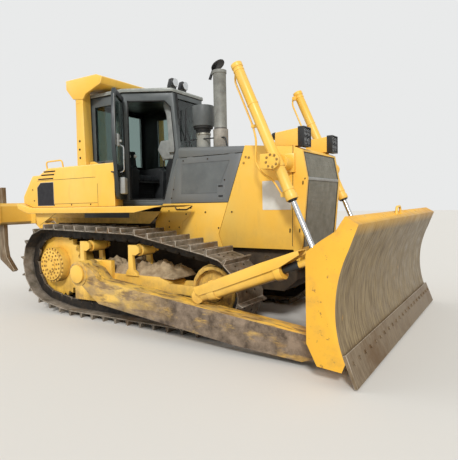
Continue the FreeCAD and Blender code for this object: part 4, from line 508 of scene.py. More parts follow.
def collar(shape, start, end, outer, inner, sides=32):
    """A ring round an axis, its radii in metres."""
    turn = (end - start).to_track_quat("Z", "Y")
    angles = [2 * math.pi * index / sides for index in range(sides)]
    spokes = [turn @ Vector((math.cos(a), math.sin(a), 0)) for a in angles]
    rings = [[shape.verts.new(centre + spoke * radius) for spoke in spokes]
             for centre, radius in ((start, inner), (start, outer), (end, outer), (end, inner))]
    for ring, after in zip(rings, rings[1:] + rings[:1]):
        for i in range(sides):
            j = (i + 1) % sides
            shape.faces.new((ring[i], ring[j], after[j], after[i]))


def plate(shape, outline, y0, y1):
    """A flat plate drawn in the side view, in millimetres, between two side distances."""
    face = shape.faces.new([shape.verts.new(at(x, y0, z)) for x, z in outline])
    parts = bmesh.ops.extrude_face_region(shape, geom=[face])["geom"]
    verts = [part for part in parts if isinstance(part, bmesh.types.BMVert)]
    bmesh.ops.translate(shape, vec=(0, (y1 - y0) / 1000, 0), verts=verts)


def flat(name, outlines, y0, y1, *finish, sign=1, **more):
    """Plates between two side distances, on the left, or on the right with a sign of -1."""
    def build(shape):
        for outline in outlines:
            plate(shape, outline, y0 * sign, y1 * sign)

    made(name, build, *finish, **more)


def boxes(name, corners, *finish, **more):
    """Boxes, each between two corners in millimetres."""
    def build(shape):
        for low, high in corners:
            block(shape, at(*low), at(*high))

    made(name, build, *finish, **more)


def drums(name, rows, *finish, **more):
    """Cylinders or cones: two ends in millimetres, two radii in metres, and a number of sides."""
    def build(shape):
        for start, end, *sizes in rows:
            drum(shape, at(*start), at(*end), *sizes)

    made(name, build, *finish, **more)


def pipe(name, points, radius_mm, material, bend_mm, body="machine"):
    """A round bar, pipe or rail bent through points in millimetres, with rounded corners."""
    points = [at(*point) for point in points]
    path = [points[0]]
    for before, corner, after in zip(points, points[1:], points[2:]):
        reach = min(bend_mm / 1000, (before - corner).length * 0.45, (after - corner).length * 0.45)
        a = corner + (before - corner).normalized() * reach
        b = corner + (after - corner).normalized() * reach
        for share in (0.0, 0.25, 0.5, 0.75, 1.0):
            path.append(a * (1 - share) ** 2 + corner * 2 * share * (1 - share) + b * share ** 2)
    path.append(points[-1])
    curve = bpy.data.curves.new(name, "CURVE")
    curve.dimensions = "3D"
    curve.bevel_depth = radius_mm / 1000
    curve.bevel_resolution = 2
    curve.use_fill_caps = True
    spline = curve.splines.new("POLY")
    spline.points.add(len(path) - 1)
    for point, place in zip(spline.points, path):
        point.co = (*place, 1.0)
    source = mesh_object(name, curve)
    mesh = plain_mesh(source)
    bpy.data.objects.remove(source)
    finish_piece(settled(mesh_object(name, mesh), 50), body, material)


# Repeats, set out by geometry nodes

def repeat_tree(name, numbers):
    """A node group with named inputs that ends in realized instances of a shape and its material."""
    tree = bpy.data.node_groups.new(name, "GeometryNodeTree")
    face = tree.interface
    face.new_socket("Geometry", in_out="INPUT", socket_type="NodeSocketGeometry")
    for label, value in numbers:
        face.new_socket(label, in_out="INPUT", socket_type="NodeSocketFloat").default_value = value
    face.new_socket("Finish", in_out="INPUT", socket_type="NodeSocketMaterial")
    face.new_socket("Geometry", in_out="OUTPUT", socket_type="NodeSocketGeometry")
    source = add(tree, "NodeGroupInput").outputs
    facing = add(tree, "GeometryNodeInputNamedAttribute", {"Name": "facing"}, data_type="FLOAT_VECTOR")
    turn = add(tree, "FunctionNodeAlignRotationToVector", {"Vector": facing.outputs[0]}, axis="Z")
    put = add(tree, "GeometryNodeInstanceOnPoints", {"Points": source["Geometry"], "Rotation": turn.outputs[0]})
    real = add(tree, "GeometryNodeRealizeInstances", {"Geometry": put.outputs[0]})
    paint = add(tree, "GeometryNodeSetMaterial", {"Geometry": real.outputs[0], "Material": source["Finish"]})
    add(tree, "NodeGroupOutput", {"Geometry": paint.outputs[0]})
    return tree, source, put


def fastener_tree():
    """Hexagon heads on washers, one at each point, standing along the point's facing."""
    tree, source, put = repeat_tree("hexagon heads", (
        ("Head radius", 0.012), ("Head height", 0.009), ("Washer radius", 0.016)))
    tall = source["Head height"]
    head = add(tree, "GeometryNodeMeshCylinder", {
        "Vertices": 6, "Radius": source["Head radius"], "Depth": tall})
    lift = add(tree, "ShaderNodeCombineXYZ", {"Z": reckon(tree, "MULTIPLY", tall, 0.65)})
    raised = add(tree, "GeometryNodeTransform", {
        "Geometry": head.outputs[0], "Translation": lift.outputs[0]})
    washer = add(tree, "GeometryNodeMeshCylinder", {
        "Vertices": 12, "Radius": source["Washer radius"], "Depth": reckon(tree, "MULTIPLY", tall, 0.4)})
    both = add(tree, "GeometryNodeJoinGeometry")
    for node in (raised, washer):
        tree.links.new(node.outputs[0], both.inputs["Geometry"])
    tree.links.new(both.outputs["Geometry"], put.inputs["Instance"])
    return tree


def bar_tree():
    """A square bar at each point, along its facing and as long as its stretch."""
    tree, source, put = repeat_tree("crossed bars", (("Bar width", 0.003), ("Bar thickness", 0.003)))
    size = add(tree, "ShaderNodeCombineXYZ", {
        "X": source["Bar thickness"], "Y": source["Bar width"], "Z": 1.0})
    bar = add(tree, "GeometryNodeMeshCube", {"Size": size.outputs[0]})
    stretch = add(tree, "GeometryNodeInputNamedAttribute", {"Name": "stretch"}, data_type="FLOAT")
    scale = add(tree, "ShaderNodeCombineXYZ", {"X": 1.0, "Y": 1.0, "Z": stretch.outputs[0]})
    tree.links.new(bar.outputs["Mesh"], put.inputs["Instance"])
    tree.links.new(scale.outputs[0], put.inputs["Scale"])
    return tree


def repeated(name, tree, places, facings, stretches, values, material, body):
    """Run a tree on points with their facings and stretches, and keep the result as a plain mesh."""
    mesh = bpy.data.meshes.new(name)
    mesh.from_pydata(places, [], [])
    mesh.attributes.new("facing", "FLOAT_VECTOR", "POINT").data.foreach_set(
        "vector", [c for facing in facings for c in facing])
    mesh.attributes.new("stretch", "FLOAT", "POINT").data.foreach_set("value", stretches)
    piece = mesh_object(name, mesh)
    step = piece.modifiers.new(tree.name, "NODES")
    step.node_group = tree
    values["Finish"] = MATERIALS[material]
    for item in tree.interface.items_tree:
        if item.item_type == "SOCKET" and item.in_out == "INPUT" and item.name in values:
            step[item.identifier] = values[item.name]
    finish_piece(settled(piece, 30), body, material)


def fasteners(name, places, size_mm, material, body="machine"):
    """Bolt heads at (place, facing) pairs."""
    tree = bpy.data.node_groups.get("hexagon heads") or fastener_tree()
    size = size_mm / 1000
    repeated(name, tree, *zip(*places), [1.0] * len(places), {
        "Head radius": size, "Head height": size * 0.75, "Washer radius": size * 1.35}, material, body)


def bars(name, rows, thickness_mm, width_mm, material):
    """Straight bars, each given as (start, end)."""
    tree = bpy.data.node_groups.get("crossed bars") or bar_tree()
    middles = [(start + end) / 2 for start, end in rows]
    runs = [end - start for start, end in rows]
    repeated(name, tree, middles, [run.normalized() for run in runs], [run.length for run in runs], {
        "Bar width": width_mm / 1000, "Bar thickness": thickness_mm / 1000}, material, "machine")


def ring_places(x, y, z, radius_mm, count, phase):
    """Bolt places on a circle that faces outwards."""
    facing = Vector((0, math.copysign(1, y), 0))
    angles = [phase + 2 * math.pi * index / count for index in range(count)]
    return [(at(x, y, z) + Vector((math.cos(a), 0, math.sin(a))) * radius_mm / 1000, facing)
            for a in angles]


def side_bolts(points, y):
    """Bolt places on a side plane that faces outwards."""
    facing = Vector((0, math.copysign(1, y), 0))
    return [(at(x, y, z), facing) for x, z in points]


# Sizes that a user would change

def millimetres(name, description, default, low, high):
    return bpy.props.FloatProperty(
        name=name, description=description + ", in mm", default=default, min=low, max=high)


class BulldozerLook(bpy.types.PropertyGroup):
    """Sizes and colours of the dressing."""
    edge_break: millimetres("Edge break", "Radius of broken plate edges", 6.0, 0.5, 20.0)
    bolt_size: millimetres("Bolt size", "Radius of a hexagon head", 11.0, 4.0, 40.0)
    screen_pitch: millimetres("Screen pitch", "Spacing of the radiator screen", 15.0, 8.0, 80.0)
    clay_depth: millimetres("Clay depth", "Depth of clay on the track frames", 185.0, 10.0, 200.0)
    seat_swell: millimetres("Seat swell", "How far the filling pushes the cover", 14.0, 2.0, 30.0)
    floor_colour: bpy.props.FloatVectorProperty(
        name="Floor", description="Colour of the studio floor", subtype="COLOR", size=3,
        default=linear("#D9D6CF")[:3])


def look():
    return bpy.context.scene.bulldozer_look


# Undercarriage

class BULLDOZER_OT_undercarriage(bpy.types.Operator):
    """Tracks, rollers, sprockets, idlers and the frames between them"""
    bl_idname = "bulldozer.undercarriage"
    bl_label = "Undercarriage"

    def execute(self, context):
        edge = look().edge_break
        dress(("track_left", "shoe_steel", 4, 1), ("track_right", "shoe_steel", 4, 1),
              ("track_frames", "yellow_low", edge), ("final_drives", "drive_yellow", edge, 3),
              # The idlers' dark mud is partly painted shade
              ("sprockets", "drive_yellow", 3, 1), ("idlers", "idler_yellow", 3),
              ("track_rollers", "roller_steel", 3, 1), ("carrier_rollers", "yellow_low", 3, 1),
              # The frame and cross members are painted dark brown: dirt, and painted shade
              ("cross_members", "grime", edge), ("main_frame", "grime", edge))
        final_drive_bolts()
        shoe_bolts()
        for side, sign in SIDES:
            clay_bed("clay_bed_" + side, sign)
        return {"FINISHED"}


def final_drive_bolts():
    """Bolt circles on each final drive's drum, step and cap."""
    height = sum(corner.z for corner in map(Vector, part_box("sprockets"))) * 500
    places = []
    for _, sign in SIDES:
        for radius, count, out in ((236, 24, 1174), (188, 18, 1198), (135, 12, 1198), (82, 8, 1214)):
            places += ring_places(0, sign * out, height, radius, count, 0.13)
    fasteners("final_drive_bolts", places, look().bolt_size, "painted_bolt")


def shoe_bolts():
    """Four bolt heads on every shoe, set on the shoes' own outer faces."""
    hub = at(1350, 0, 600)
    shoe_area = 0.045
    for node in ("track_left", "track_right"):
        middle = (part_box(node)[0][1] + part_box(node)[1][1]) / 2
        places = []
        for face in bpy.data.objects[node + "_finish"].data.polygons:
            away, facing = face.center - hub, face.normal.copy()
            if face.area < shoe_area or abs(facing.y) > 0.2 or facing.x * away.x + facing.z * away.z < 0:
                continue
            along = Vector((facing.z, 0, -facing.x)).normalized()
            places += [(Vector((face.center.x, middle + out, face.center.z)) + along * step, facing)
                       for out in (-0.092, 0.092) for step in (-0.032, 0.032)]
        fasteners(node + "_bolts", places, 10, "roller_steel")


def clay_bed(name, sign):
    """Clay packed on a track frame, between it and the upper run of the track."""
    rear, front, inner, outer, frame_top = 520, 2250, 720, 1158, 628
    columns, rows = 96, 24
    depth = look().clay_depth

    def surface_point(shape, along, across):
        x = rear + (front - rear) * along
        y = (outer + (inner - outer) * across) * sign
        ends = min(1.0, math.sin(math.pi * along) * 2.2)
        lump = 0.75 + 0.5 * noise.fractal(Vector((x / 260, y / 260, sign * 3.1)), 0.6, 2.1, 5)
        rise = depth * ends * min(1.0, 0.15 + across * 3.0) * lump
        return shape.verts.new(at(x, y, frame_top + max(1.0, rise)))

    def build(shape):
        grid = [[surface_point(shape, i / columns, j / rows) for j in range(rows + 1)]
                for i in range(columns + 1)]
        for line, after in zip(grid, grid[1:]):
            for j in range(rows):
                shape.faces.new((line[j], after[j], after[j + 1], line[j + 1]))
        rim = [line[0] for line in grid] + grid[-1][1:] + [line[-1] for line in reversed(grid[:-1])]
        rim += reversed(grid[0][1:-1])
        base = [shape.verts.new((vert.co.x, vert.co.y, (frame_top - 14) / 1000)) for vert in rim]
        for a, b, c, d in zip(rim, rim[1:] + rim[:1], base[1:] + base[:1], base):
            shape.faces.new((a, b, c, d))
        shape.faces.new(base)

    finish_piece(settled(mesh_object(name, new_mesh(name, build)), 60), "machine", "clay")


# Body

class BULLDOZER_OT_body(bpy.types.Operator):
    """Hood, engine doors, radiator guard with its screen, lamps, stack, fenders and tanks"""
    bl_idname = "bulldozer.body"
    bl_label = "Hood, guard and tanks"

    def execute(self, context):
        edge = look().edge_break
        dress(("hood", "grey", 4), ("cowl", "cowl", 4), ("engine_block", "cast_iron", 20),
              ("radiator_guard", "yellow", edge), ("grille", "slats", 1.5, 1), ("front_lamps", "yellow", 6),
              ("exhaust_pipe", "exhaust", 4), ("rain_flap", "black", 2, 1), ("pre_cleaner", "cleaner", 4),
              ("fenders", "yellow", edge), ("side_tanks", "yellow", 14, 3), ("fuel_tank", "yellow", 14, 3))
        radiator_screen()
        for side, sign in SIDES:
            dressed("engine_door_" + side, "grey", 3)
            for fit in (engine_door_fittings, lamp_front, guard_side, tank_side, skirt_side):
                fit(side, sign)
        plates_and_rails()
        return {"FINISHED"}


def radiator_screen():
    """Crossed wires in front of the slats, bent with the mask, and the rail at the bend."""
    half, proud = 0.505, 0.0035
    foot, bend, top = at(3622, 0, 990), at(3693.5, 0, 1770), at(3636, 0, 2066)
    across = Vector((0, half, 0))
    pitch = look().screen_pitch / 1000
    rows = []
    for low, high in ((foot, bend), (bend, top)):
        rise = high - low
        out = Vector((rise.z, 0, -rise.x)).normalized() * proud
        count = int(rise.length / pitch)
        for index in range(count + 1):
            point = low + rise * index / count - out
            rows.append((point - across, point + across))
        count = int(2 * half / pitch)
        for index in range(count + 1):
            side = Vector((0, -half + 2 * half * index / count, 0)) - out
            rows.append((low + side, high + side))
    bars("radiator_screen", rows, 4.5, 4.5, "mesh")
    flat("screen_rail", [[(3680, 1750), (3694, 1752), (3697, 1770), (3694, 1788), (3680, 1790)]], -507, 507,
         "trim_grey")


def engine_door_fittings(side, sign):
    """Woven panel in the door's recess, latch plate with two paddle latches, and a few studs."""
    door = "engine_door_" + side
    place = {"body": door, "sign": sign}
    flat("door_screen_" + side, [[(1950, 2030), (2668, 2030), (2480, 1642), (1910, 1642)]], 546, 548.5,
         "mesh_grey", 1, 1, **place)
    latch_plate = [(2487, 1752), (2560, 1756), (2604, 1748), (2585, 1556), (2487, 1556)]
    flat("latch_plate_" + side, [latch_plate], 550, 553, "grey", 1, 1, **place)
    paddles = [rectangle(2508, 2572, z, z + 22) for z in (1715, 1590)]
    flat("door_latches_" + side, paddles, 553, 559, "black", **place)
    studs = side_bolts([(1785, 1706), (1746, 1590), (2600, 1800), (1960, 2075), (2350, 2075)], HOOD_SIDE * sign)
    fasteners("door_studs_" + side, studs, 8, "dark_bolt", door)


def lamp_front(side, sign):
    """Black bezel round a lamp box's front, with two pairs of reflectors behind guard bars."""
    middle, low, high = 458 * sign, 2131, 2352
    frame = [((3594, middle + y0, z0), (3672, middle + y1, z1)) for y0, y1, z0, z1 in (
        (-101, -90, low, high), (90, 101, low, high), (-90, 90, low, low + 12), (-90, 90, high - 12, high))]
    back = ((3652, middle - 91, low + 10), (3656, middle + 91, high - 10))
    boxes("lamp_bezel_" + side, frame + [back], "black", 3)

    def bowls(shape):
        for y in (middle - 43, middle + 43):
            for z in (low + 62, high - 62):
                collar(shape, at(3655, y, z), at(3666, y, z), 0.038, 0.030, 24)
                drum(shape, at(3655, y, z), at(3660, y, z), 0.031, 0.028, 24)

    made("lamp_bowls_" + side, bowls, "dull_bowl", 1, 1)
    rows = [(at(3669, middle - 88, z), at(3669, middle + 88, z)) for z in (low + 55, low + 110, low + 165)]
    bars("lamp_bars_" + side, rows, 6, 8, "black")


def guard_side(side, sign):
    """The mask's hinged rim, its latches, and the bolts of the trunnion block."""
    flat("mask_seam_" + side, [[(3527, 2150), (3534, 2150), (3513, 1000), (3506, 1000)]], 549, 552,
         "rubber", 0.8, 1, sign=sign)
    flat("mask_rim_" + side, [[(3536, 2150), (3552, 2150), (3531, 1000), (3515, 1000)]], 549, 554,
         "yellow", 1.5, sign=sign)
    latches = [[(x - 6, z - half), (x + 6, z - half), (x + 9, z + half), (x - 3, z + half)]
               for x, z, half in ((3488, 1720, 23), (3647, 1722, 20), (3451, 1765, 8), (3672, 1768, 8),
                                  (3480, 1180, 23), (3600, 1182, 20))]
    flat("mask_latches_" + side, latches, 549, 559, "dark_bolt", sign=sign)
    places = ring_places(3468, 975 * sign, 1950, 66, 8, 0.2)
    guard_bolts = [(2909, 2059), (2953, 2050), (2880, 1990), (3260, 2010), (3270, 1890)]
    places += side_bolts(guard_bolts, HOOD_SIDE * sign)
    fasteners("trunnion_bolts_" + side, places, look().bolt_size, "painted_bolt")


def tank_side(side, sign):
    """Side tank: the cover's seam and crease, louvres, the filler cap and the fender bracket."""
    face = TANK_SIDE * sign
    seams = (((1042, 1502), (1042, 1800)), ((-215, 1885), (1010, 1885)), ((90, 1545), (1030, 1549)))
    lines = [(at(a, face, b), at(c, face, d)) for (a, b), (c, d) in seams]
    bars("tank_seams_" + side, lines, 5, 2, "rubber")
    louvres = ((-54, 197, 2005), (-115, 174, 1960), (-188, 148, 1905))
    # Painted shade: the black strips under the lips stand for the shadow in the louvres' openings
    slots = [rectangle(x0, x1, z - 9, z + 9) for x0, x1, z in louvres]
    flat("louvre_slots_" + side, slots, 1198, 1201.5, "rubber", 1, 1, sign=sign)
    lips = [rectangle(x0 - 4, x1 + 4, z + 9, z + 14) for x0, x1, z in louvres]
    flat("louvre_lips_" + side, lips, 1198, 1212, "yellow", sign=sign)

    def cap(shape):
        centre = at(918, 1000 * sign, 2055)
        drum(shape, centre, centre + Vector((0, 0, 0.03)), 0.048, 0.044)
        block(shape, centre + Vector((-0.05, -0.008, 0.03)), centre + Vector((0.05, 0.008, 0.045)))

    made("filler_cap_" + side, cap, "black", 3)
    bracket = [(-330, 1412), (140, 1412), (70, 1385), (-240, 1240), (-300, 1240)]
    flat("fender_bracket_" + side, [bracket], 1160, 1172, "yellow", 3, sign=sign)
    foot, bar = 1090 * sign, 1100 * sign
    rail = [(-120, foot, 2050), (-130, bar, 2160), (225, bar, 2165), (235, foot, 2050)]
    pipe("tank_rail_" + side, rail, 11, "yellow", 50)
    bolts = [(150, 1530), (520, 1530), (900, 1530), (-300, 1600), (-330, 1760)]
    fasteners("tank_bolts_" + side, side_bolts(bolts, face), 8, "dark_bolt")


def skirt_side(side, sign):
    """The skirt's bolted cover, the hooked handle above it and the panel under the fender, dusty and darkened as
    painted shade.
    """
    cover = [(1655, 1457), (2108, 1478), (2049, 1363), (1908, 1258), (1896, 1177), (1644, 1164)]
    flat("skirt_cover_" + side, [cover], 550, 556, "yellow", sign=sign)
    flat("belly_panel_" + side, [[(-560, 1250), (1440, 1250), (1660, 1418), (-560, 1418)]], 648, 656,
         "idler_yellow", 2, 1, sign=sign)
    bolts = [(1700, 1420), (1700, 1280), (1700, 1200), (1870, 1200), (1990, 1375), (2070, 1455), (1880, 1440),
             (2300, 1400), (2700, 1400), (2500, 1200)]
    fasteners("skirt_bolts_" + side, side_bolts(bolts, 556 * sign), 8, "dark_bolt")
    hook = ((1680, 1488), (1810, 1490), (1830, 1438), (2005, 1436), (2095, 1480))
    pipe("skirt_handle_" + side, [(x, 562 * sign, z) for x, z in hook], 8, "black", 18)


def plates_and_rails():
    """Blank plates on the right side, the stacks' handrail and clamp, and the horn."""
    white = [(3130, 1420), (3498, 1420), (3498, 1580), (3400, 1700), (3330, 1760), (3130, 1760)]
    flat("white_plate", [white], -550, -553, "plate_white", 1, 1)
    edge = [(-222, 1520), (150, 1520), (150, 1857), (-140, 1857), (-222, 1790)]
    flat("number_plate_edge", [edge], -1200, -1202, "trim_grey", 1, 1)
    face = [(-216, 1526), (144, 1526), (144, 1851), (-137, 1851), (-216, 1787)]
    flat("number_plate", [face], -1202, -1203.5, "plate_black", 0.6, 1)
    pipe("stack_rail", [(2000, -470, 2225), (2015, -470, 2348), (2575, -470, 2338), (2600, -470, 2215)], 9,
         "black", 30)

    def clamp(shape):
        drum(shape, at(2190, -400, 2400), at(2190, -400, 2424), 0.098, 0.098)
        block(shape, at(2180, -512, 2402), at(2200, -494, 2422))

    made("cleaner_clamp", clamp, "zinc")
    drums("horn", [((3290, -500, 2276), (3255, -500, 2276), 0.046, 0.040, 24),
                   ((3297, -500, 2276), (3290, -500, 2276), 0.030, 0.030, 24)], "black", 3)


# Cab

class BULLDOZER_OT_cab(bpy.types.Operator):
    """Cab shell, roof, glass, doors, inside and the roll-over bar"""
    bl_idname = "bulldozer.cab"
    bl_label = "Cab"

    def execute(self, context):
        dress(("cab_floor", "cab", 4), ("cab_body", "cab", 4), ("cab_roof", "pale_grey", 20, 3),
              ("cab_glass", "glass", 0))
        for side, sign in SIDES:
            dress(("door_" + side, "door", 4), ("door_" + side + "_glass", "glass", 0))
            door_fittings(side, sign)
            door_seal(side, sign)
        dress(("consoles", "trim_plastic", 12, 3), ("rops_bar", "yellow", look().edge_break),
              ("cab_lamps", "black", 6))
        seat()
        inside()
        outside()
        return {"FINISHED"}


def door_fittings(side, sign):
    """Pull bar, pocket, edge strip, lock case and outer handle of a cab door."""
    body = "door_" + side
    hinge = Vector((1068, 723 * sign))
    # The right leaf stands open and the left one is shut
    angle = math.radians(-55.0 if side == "right" else -31.4)
    run = Vector((math.cos(angle), math.sin(angle)))
    inner = Vector((-run.y, run.x)) * -sign

    def place(along, off, z):
        """Along the leaf, off its inner face, and up."""
        return (*(hinge + run * along + inner * off), z)

    def fitting(name, material, width_mm, segments, *cases):
        """Boxes on the leaf, each from three pairs of limits."""
        def build(shape):
            for us, ss, zs in cases:
                grid = [shape.verts.new(at(*place(u, s, z))) for u in us for s in ss for z in zs]
                for corners in ((0, 4, 6, 2), (1, 3, 7, 5), (0, 1, 5, 4), (2, 6, 7, 3), (0, 2, 3, 1), (4, 5, 7, 6)):
                    shape.faces.new([grid[index] for index in corners])

        made(name + side, build, material, width_mm, segments, body)

    pull = [place(470, off, z) for off, z in ((20, 1935), (72, 1950), (74, 2262), (20, 2280))]
    pipe("door_pull_" + side, pull, 12, "chrome", 30, body)
    fitting("door_pocket_", "trim_grey", 14, 3, ((330, 525), (20, 90), (1655, 1868)))
    fitting("door_strip_", "trim_grey", 1.5, 2, ((704, 724), (20, 24), (2260, 2880)))
    fitting("door_lock_", "trim_grey", 5, 2, ((565, 655), (20, 50), (2250, 2400)),
            ((600, 620), (48, 80), (2300, 2330)))
    handle = [place(560, -18, 1925), place(560, -52, 1930), place(660, -52, 1930), place(660, -18, 1925)]
    pipe("door_handle_" + side, handle, 9, "black", 20, body)


def door_seal(side, sign):
    """Black rubber round a doorway's edge, set in the opening of the slanted wall."""
    slant = math.radians(31.4)
    corner = Vector((1060, 700 * sign))
    run = Vector((math.cos(slant), -math.sin(slant) * sign))
    inward = Vector((-math.sin(slant), -math.cos(slant) * sign))
    outline = [(56, 1584), (530, 1584), (700, 2262), (655, 2852), (570, 2938), (56, 2938)]
    points = [Vector((*(corner + run * along + inward * 12), z)) for along, z in outline + outline[:2]]
    # The loop closes in the middle of its lowest run
    points[0] = points[-1] = (points[0] + points[1]) / 2
    pipe("door_seal_" + side, points, 10, "rubber", 45)


def seat():
    """Sewn cushion and back on a pleated suspension, with arm rests; stands for the plain seat."""
    cushion = padded_pad("seat_cushion", at(440, -232, 1868), at(878, 232, 1950), 0.0)
    finish_piece(cushion, "machine", "vinyl", "seat")
    back = padded_pad("seat_back", at(352, -222, 1962), at(440, 222, 2385), -0.12)
    finish_piece(back, "machine", "vinyl")
    pleats = []
    for index in range(9):
        z = 1556 + index * 32
        wide = 186 - (index % 2) * 4
        pleats += [((442, -wide, z), (798, wide, z + 15)),
                   ((456, -wide + 16, z + 15), (784, wide - 16, z + 32))]
    boxes("seat_bellows", pleats, "rubber", 4)
    boxes("seat_pan", [((430, -225, 1846), (872, 225, 1864))] + [
        ((345, y - 10, 1900), (385, y + 10, 2150)) for y in (-236, 236)], "black", 4)


def padded_pad(name, low, high, lean):
    """A pad of cover cloth, filled by pressure with its travel capped, then pressed in along two channels."""
    def build(shape):
        verts = block(shape, low, high)
        edges = list({edge for vert in verts for edge in vert.link_edges})
        bmesh.ops.bevel(shape, geom=edges, offset=0.022, segments=3, affect="EDGES", profile=0.6)
        for vert in shape.verts:
            vert.co.x += lean * (vert.co.z - low.z)

    piece = mesh_object(name, new_mesh(name, build))
    grid = piece.modifiers.new("cloth grid", "REMESH")
    grid.mode = "VOXEL"
    grid.voxel_size = 0.006
    settled(piece)
    start = [vert.co.copy() for vert in piece.data.vertices]
    cloth = piece.modifiers.new("filling", "CLOTH")
    cloth.settings.use_pressure = True
    cloth.settings.uniform_pressure_force = 4.0
    cloth.settings.effector_weights.gravity = 0.0
    cloth.point_cache.frame_start = 1
    cloth.point_cache.frame_end = 20
    for frame in range(1, 21):
        bpy.context.scene.frame_set(frame)
    settled(piece)
    bpy.context.scene.frame_set(1)
    cap = look().seat_swell / 1000
    middle = (low + high) / 2
    seams, seam_width, seam_depth = (-0.085, 0.085), 0.009, 0.007
    for vert, rest in zip(piece.data.vertices, start):
        travel = vert.co - rest
        if travel.length > cap:
            travel *= cap / travel.length
        channel = sum(math.exp(-((rest.y - seam) / seam_width) ** 2) for seam in seams)
        press = Vector((middle.x - rest.x, 0, middle.z - rest.z)).normalized() * seam_depth * channel
        vert.co = rest + travel + press
    finer = piece.modifiers.new("smoothing", "SUBSURF")
    finer.levels = finer.render_levels = 1
    return settled(piece, 60)


def inside():
    """Levers, dash hood, pillar trim and floor mat."""
    hood = [(1350, 2150), (1620, 2150), (1610, 2330), (1480, 2425), (1315, 2425), (1250, 2300)]
    flat("dash_hood", [hood], -246, 246, "trim_grey", 22, 3)
    pillar = [(1500, 2240), (1612, 2240), (1602, 2700), (1560, 2940), (1440, 2980), (1425, 2900),
              (1475, 2760), (1500, 2500)]

    def pillars(shape):
        for _, sign in SIDES:
            plate(shape, pillar, sign * 262, sign * 288)

    made("pillar_trim", pillars, "trim_grey", 8, 3)
    levers = ((880, -345, 2060, 30), (800, -330, 2070, -20), (860, 340, 2070, 20))
    for index, (x, y, z, lean) in enumerate(levers):
        bend = [(x, y, z), (x + lean / 2, y, z + 80), (x + lean, y, z + 150)]
        pipe("lever_%d" % index, bend, 7, "black", 20)
    knobs = []
    for x, y, z in ((910, -345, 2226), (780, -330, 2236), (880, 340, 2236)):
        knobs += [((x, y, z - 26), (x, y, z), 0.016, 0.024, 20),
                  ((x, y, z), (x, y, z + 22), 0.024, 0.014, 20)]
    drums("lever_knobs", knobs, "plate_white", 4, 3)
    boxes("floor_mat", [((900, -200, 1551), (1360, 200, 1562))], "rubber", 4)


def outside():
    """Cables down the cab's front corner, the wiper, and the roll-over bar's bolts and brackets."""
    for index, (y, foot) in enumerate(((-292, 2600), (-276, 2700), (-260, 2560))):
        cable = [(1652, y, 3050), (1662, y, 2960), (1686, y - 4, 2700), (1700, y - 2, foot)]
        pipe("corner_cable_%d" % index, cable, 5, "rubber", 60)
    pipe("wiper_arm", [(1706, 40, 2215), (1712, 20, 2240), (1690, -120, 2620)], 5, "black", 20)
    drums("wiper_blade", [((1704, -150, 2400), (1672, -90, 2860), 0.008, 0.008, 8),
                          ((1700, 40, 2200), (1722, 40, 2205), 0.022, 0.018, 16)], "rubber", 1, 1)
    places = []
    for _, sign in SIDES:
        places += side_bolts([(355, 2440), (348, 2321), (352, 2201)], 880 * sign)
        places += [(at(x, y * sign, 2085), Vector((0, 0, 1))) for x in (262, 490) for y in (752, 860)]
    fasteners("roll_bar_bolts", places, 12, "dark_bolt")

    def brackets(shape):
        for _, sign in SIDES:
            plate(shape, [(466, 2085), (680, 2068), (660, 2100), (560, 2140), (480, 2140)],
                  800 * sign, 816 * sign)
            plate(shape, rectangle(313, 388, 2978, 2990), 880 * sign, 886 * sign)

    made("roll_bar_brackets", brackets, "yellow", 3)
    rims = [((1647, y, 3190), (1662, y, 3190), 0.052, 0.056, 28) for y in (-289, -60)]
    drums("cab_lamp_rims", rims, "reflector")


# Blade

class BULLDOZER_OT_blade(bpy.types.Operator):
    """Blade, cutting edge, push arms, struts and lift cylinders"""
    bl_idname = "bulldozer.blade"
    bl_label = "Blade"

    def execute(self, context):
        dress(("blade", "blade_yellow", 5), ("cutting_edge", "scoured", 4), ("push_arms", "arm_yellow", 8),
              ("tilt_cylinder", "yellow_low", 3), ("brace", "yellow_low", 3))
        for side, sign in reversed(SIDES):
            dress(("lift_barrel_" + side, "yellow", 3), ("lift_rod_" + side, "chrome", 2))
            barrel_pipes(side, sign)
            arm_pin(side, sign)
        dressed("trunnion_yokes", "yellow", 4)
        tilt_guard()
        edge_bolts()
        eye = [(4600, y, z) for y, z in ((-300, 1345), (-285, 1432), (-120, 1440), (-95, 1345))]
        pipe("crest_eye", eye, 14, "yellow", 60, "blade")
        return {"FINISHED"}


def barrel_pipes(side, sign):
    """The steel pipe behind a lift cylinder, its clamps, and the bands and gland ring of the barrel."""
    body = "lift_barrel_" + side
    y = (LIFT_SIDE - 55) * sign
    route = ((2935, 2985), (2925, 2900), (3150, 2374), (3190, 2214), (3172, 1968), (3255, 1835),
             (3392, 1755), (3500, 1590))
    pipe("barrel_pipe_" + side, [(x, y, z) for x, z in route], 12, "yellow", 55, body)
    far = y + 22 * sign
    clamps = [((2930, y - 24 * sign, 2955), (2985, far, 3010)), ((3135, y - 20 * sign, 2350), (3220, far, 2385)),
              ((3490, y - 24 * sign, 1560), (3600, far, 1620))]
    boxes("barrel_clamps_" + side, clamps, "yellow", 5, body=body)
    axis = Vector((-0.3998, 0, 0.9166))
    trunnion = at(3468, LIFT_SIDE * sign, 1950)

    def bands(shape):
        for along in (1.130, 0.700, -0.350):
            collar(shape, trunnion + axis * along, trunnion + axis * (along + 0.018), 0.0635, 0.056)

    made("barrel_bands_" + side, bands, "yellow", 1.5, body=body)
    gland = trunnion - axis * 0.454, trunnion - axis * 0.470
    made("gland_ring_" + side, lambda shape: collar(shape, *gland, 0.052, 0.0385), "black", body=body)


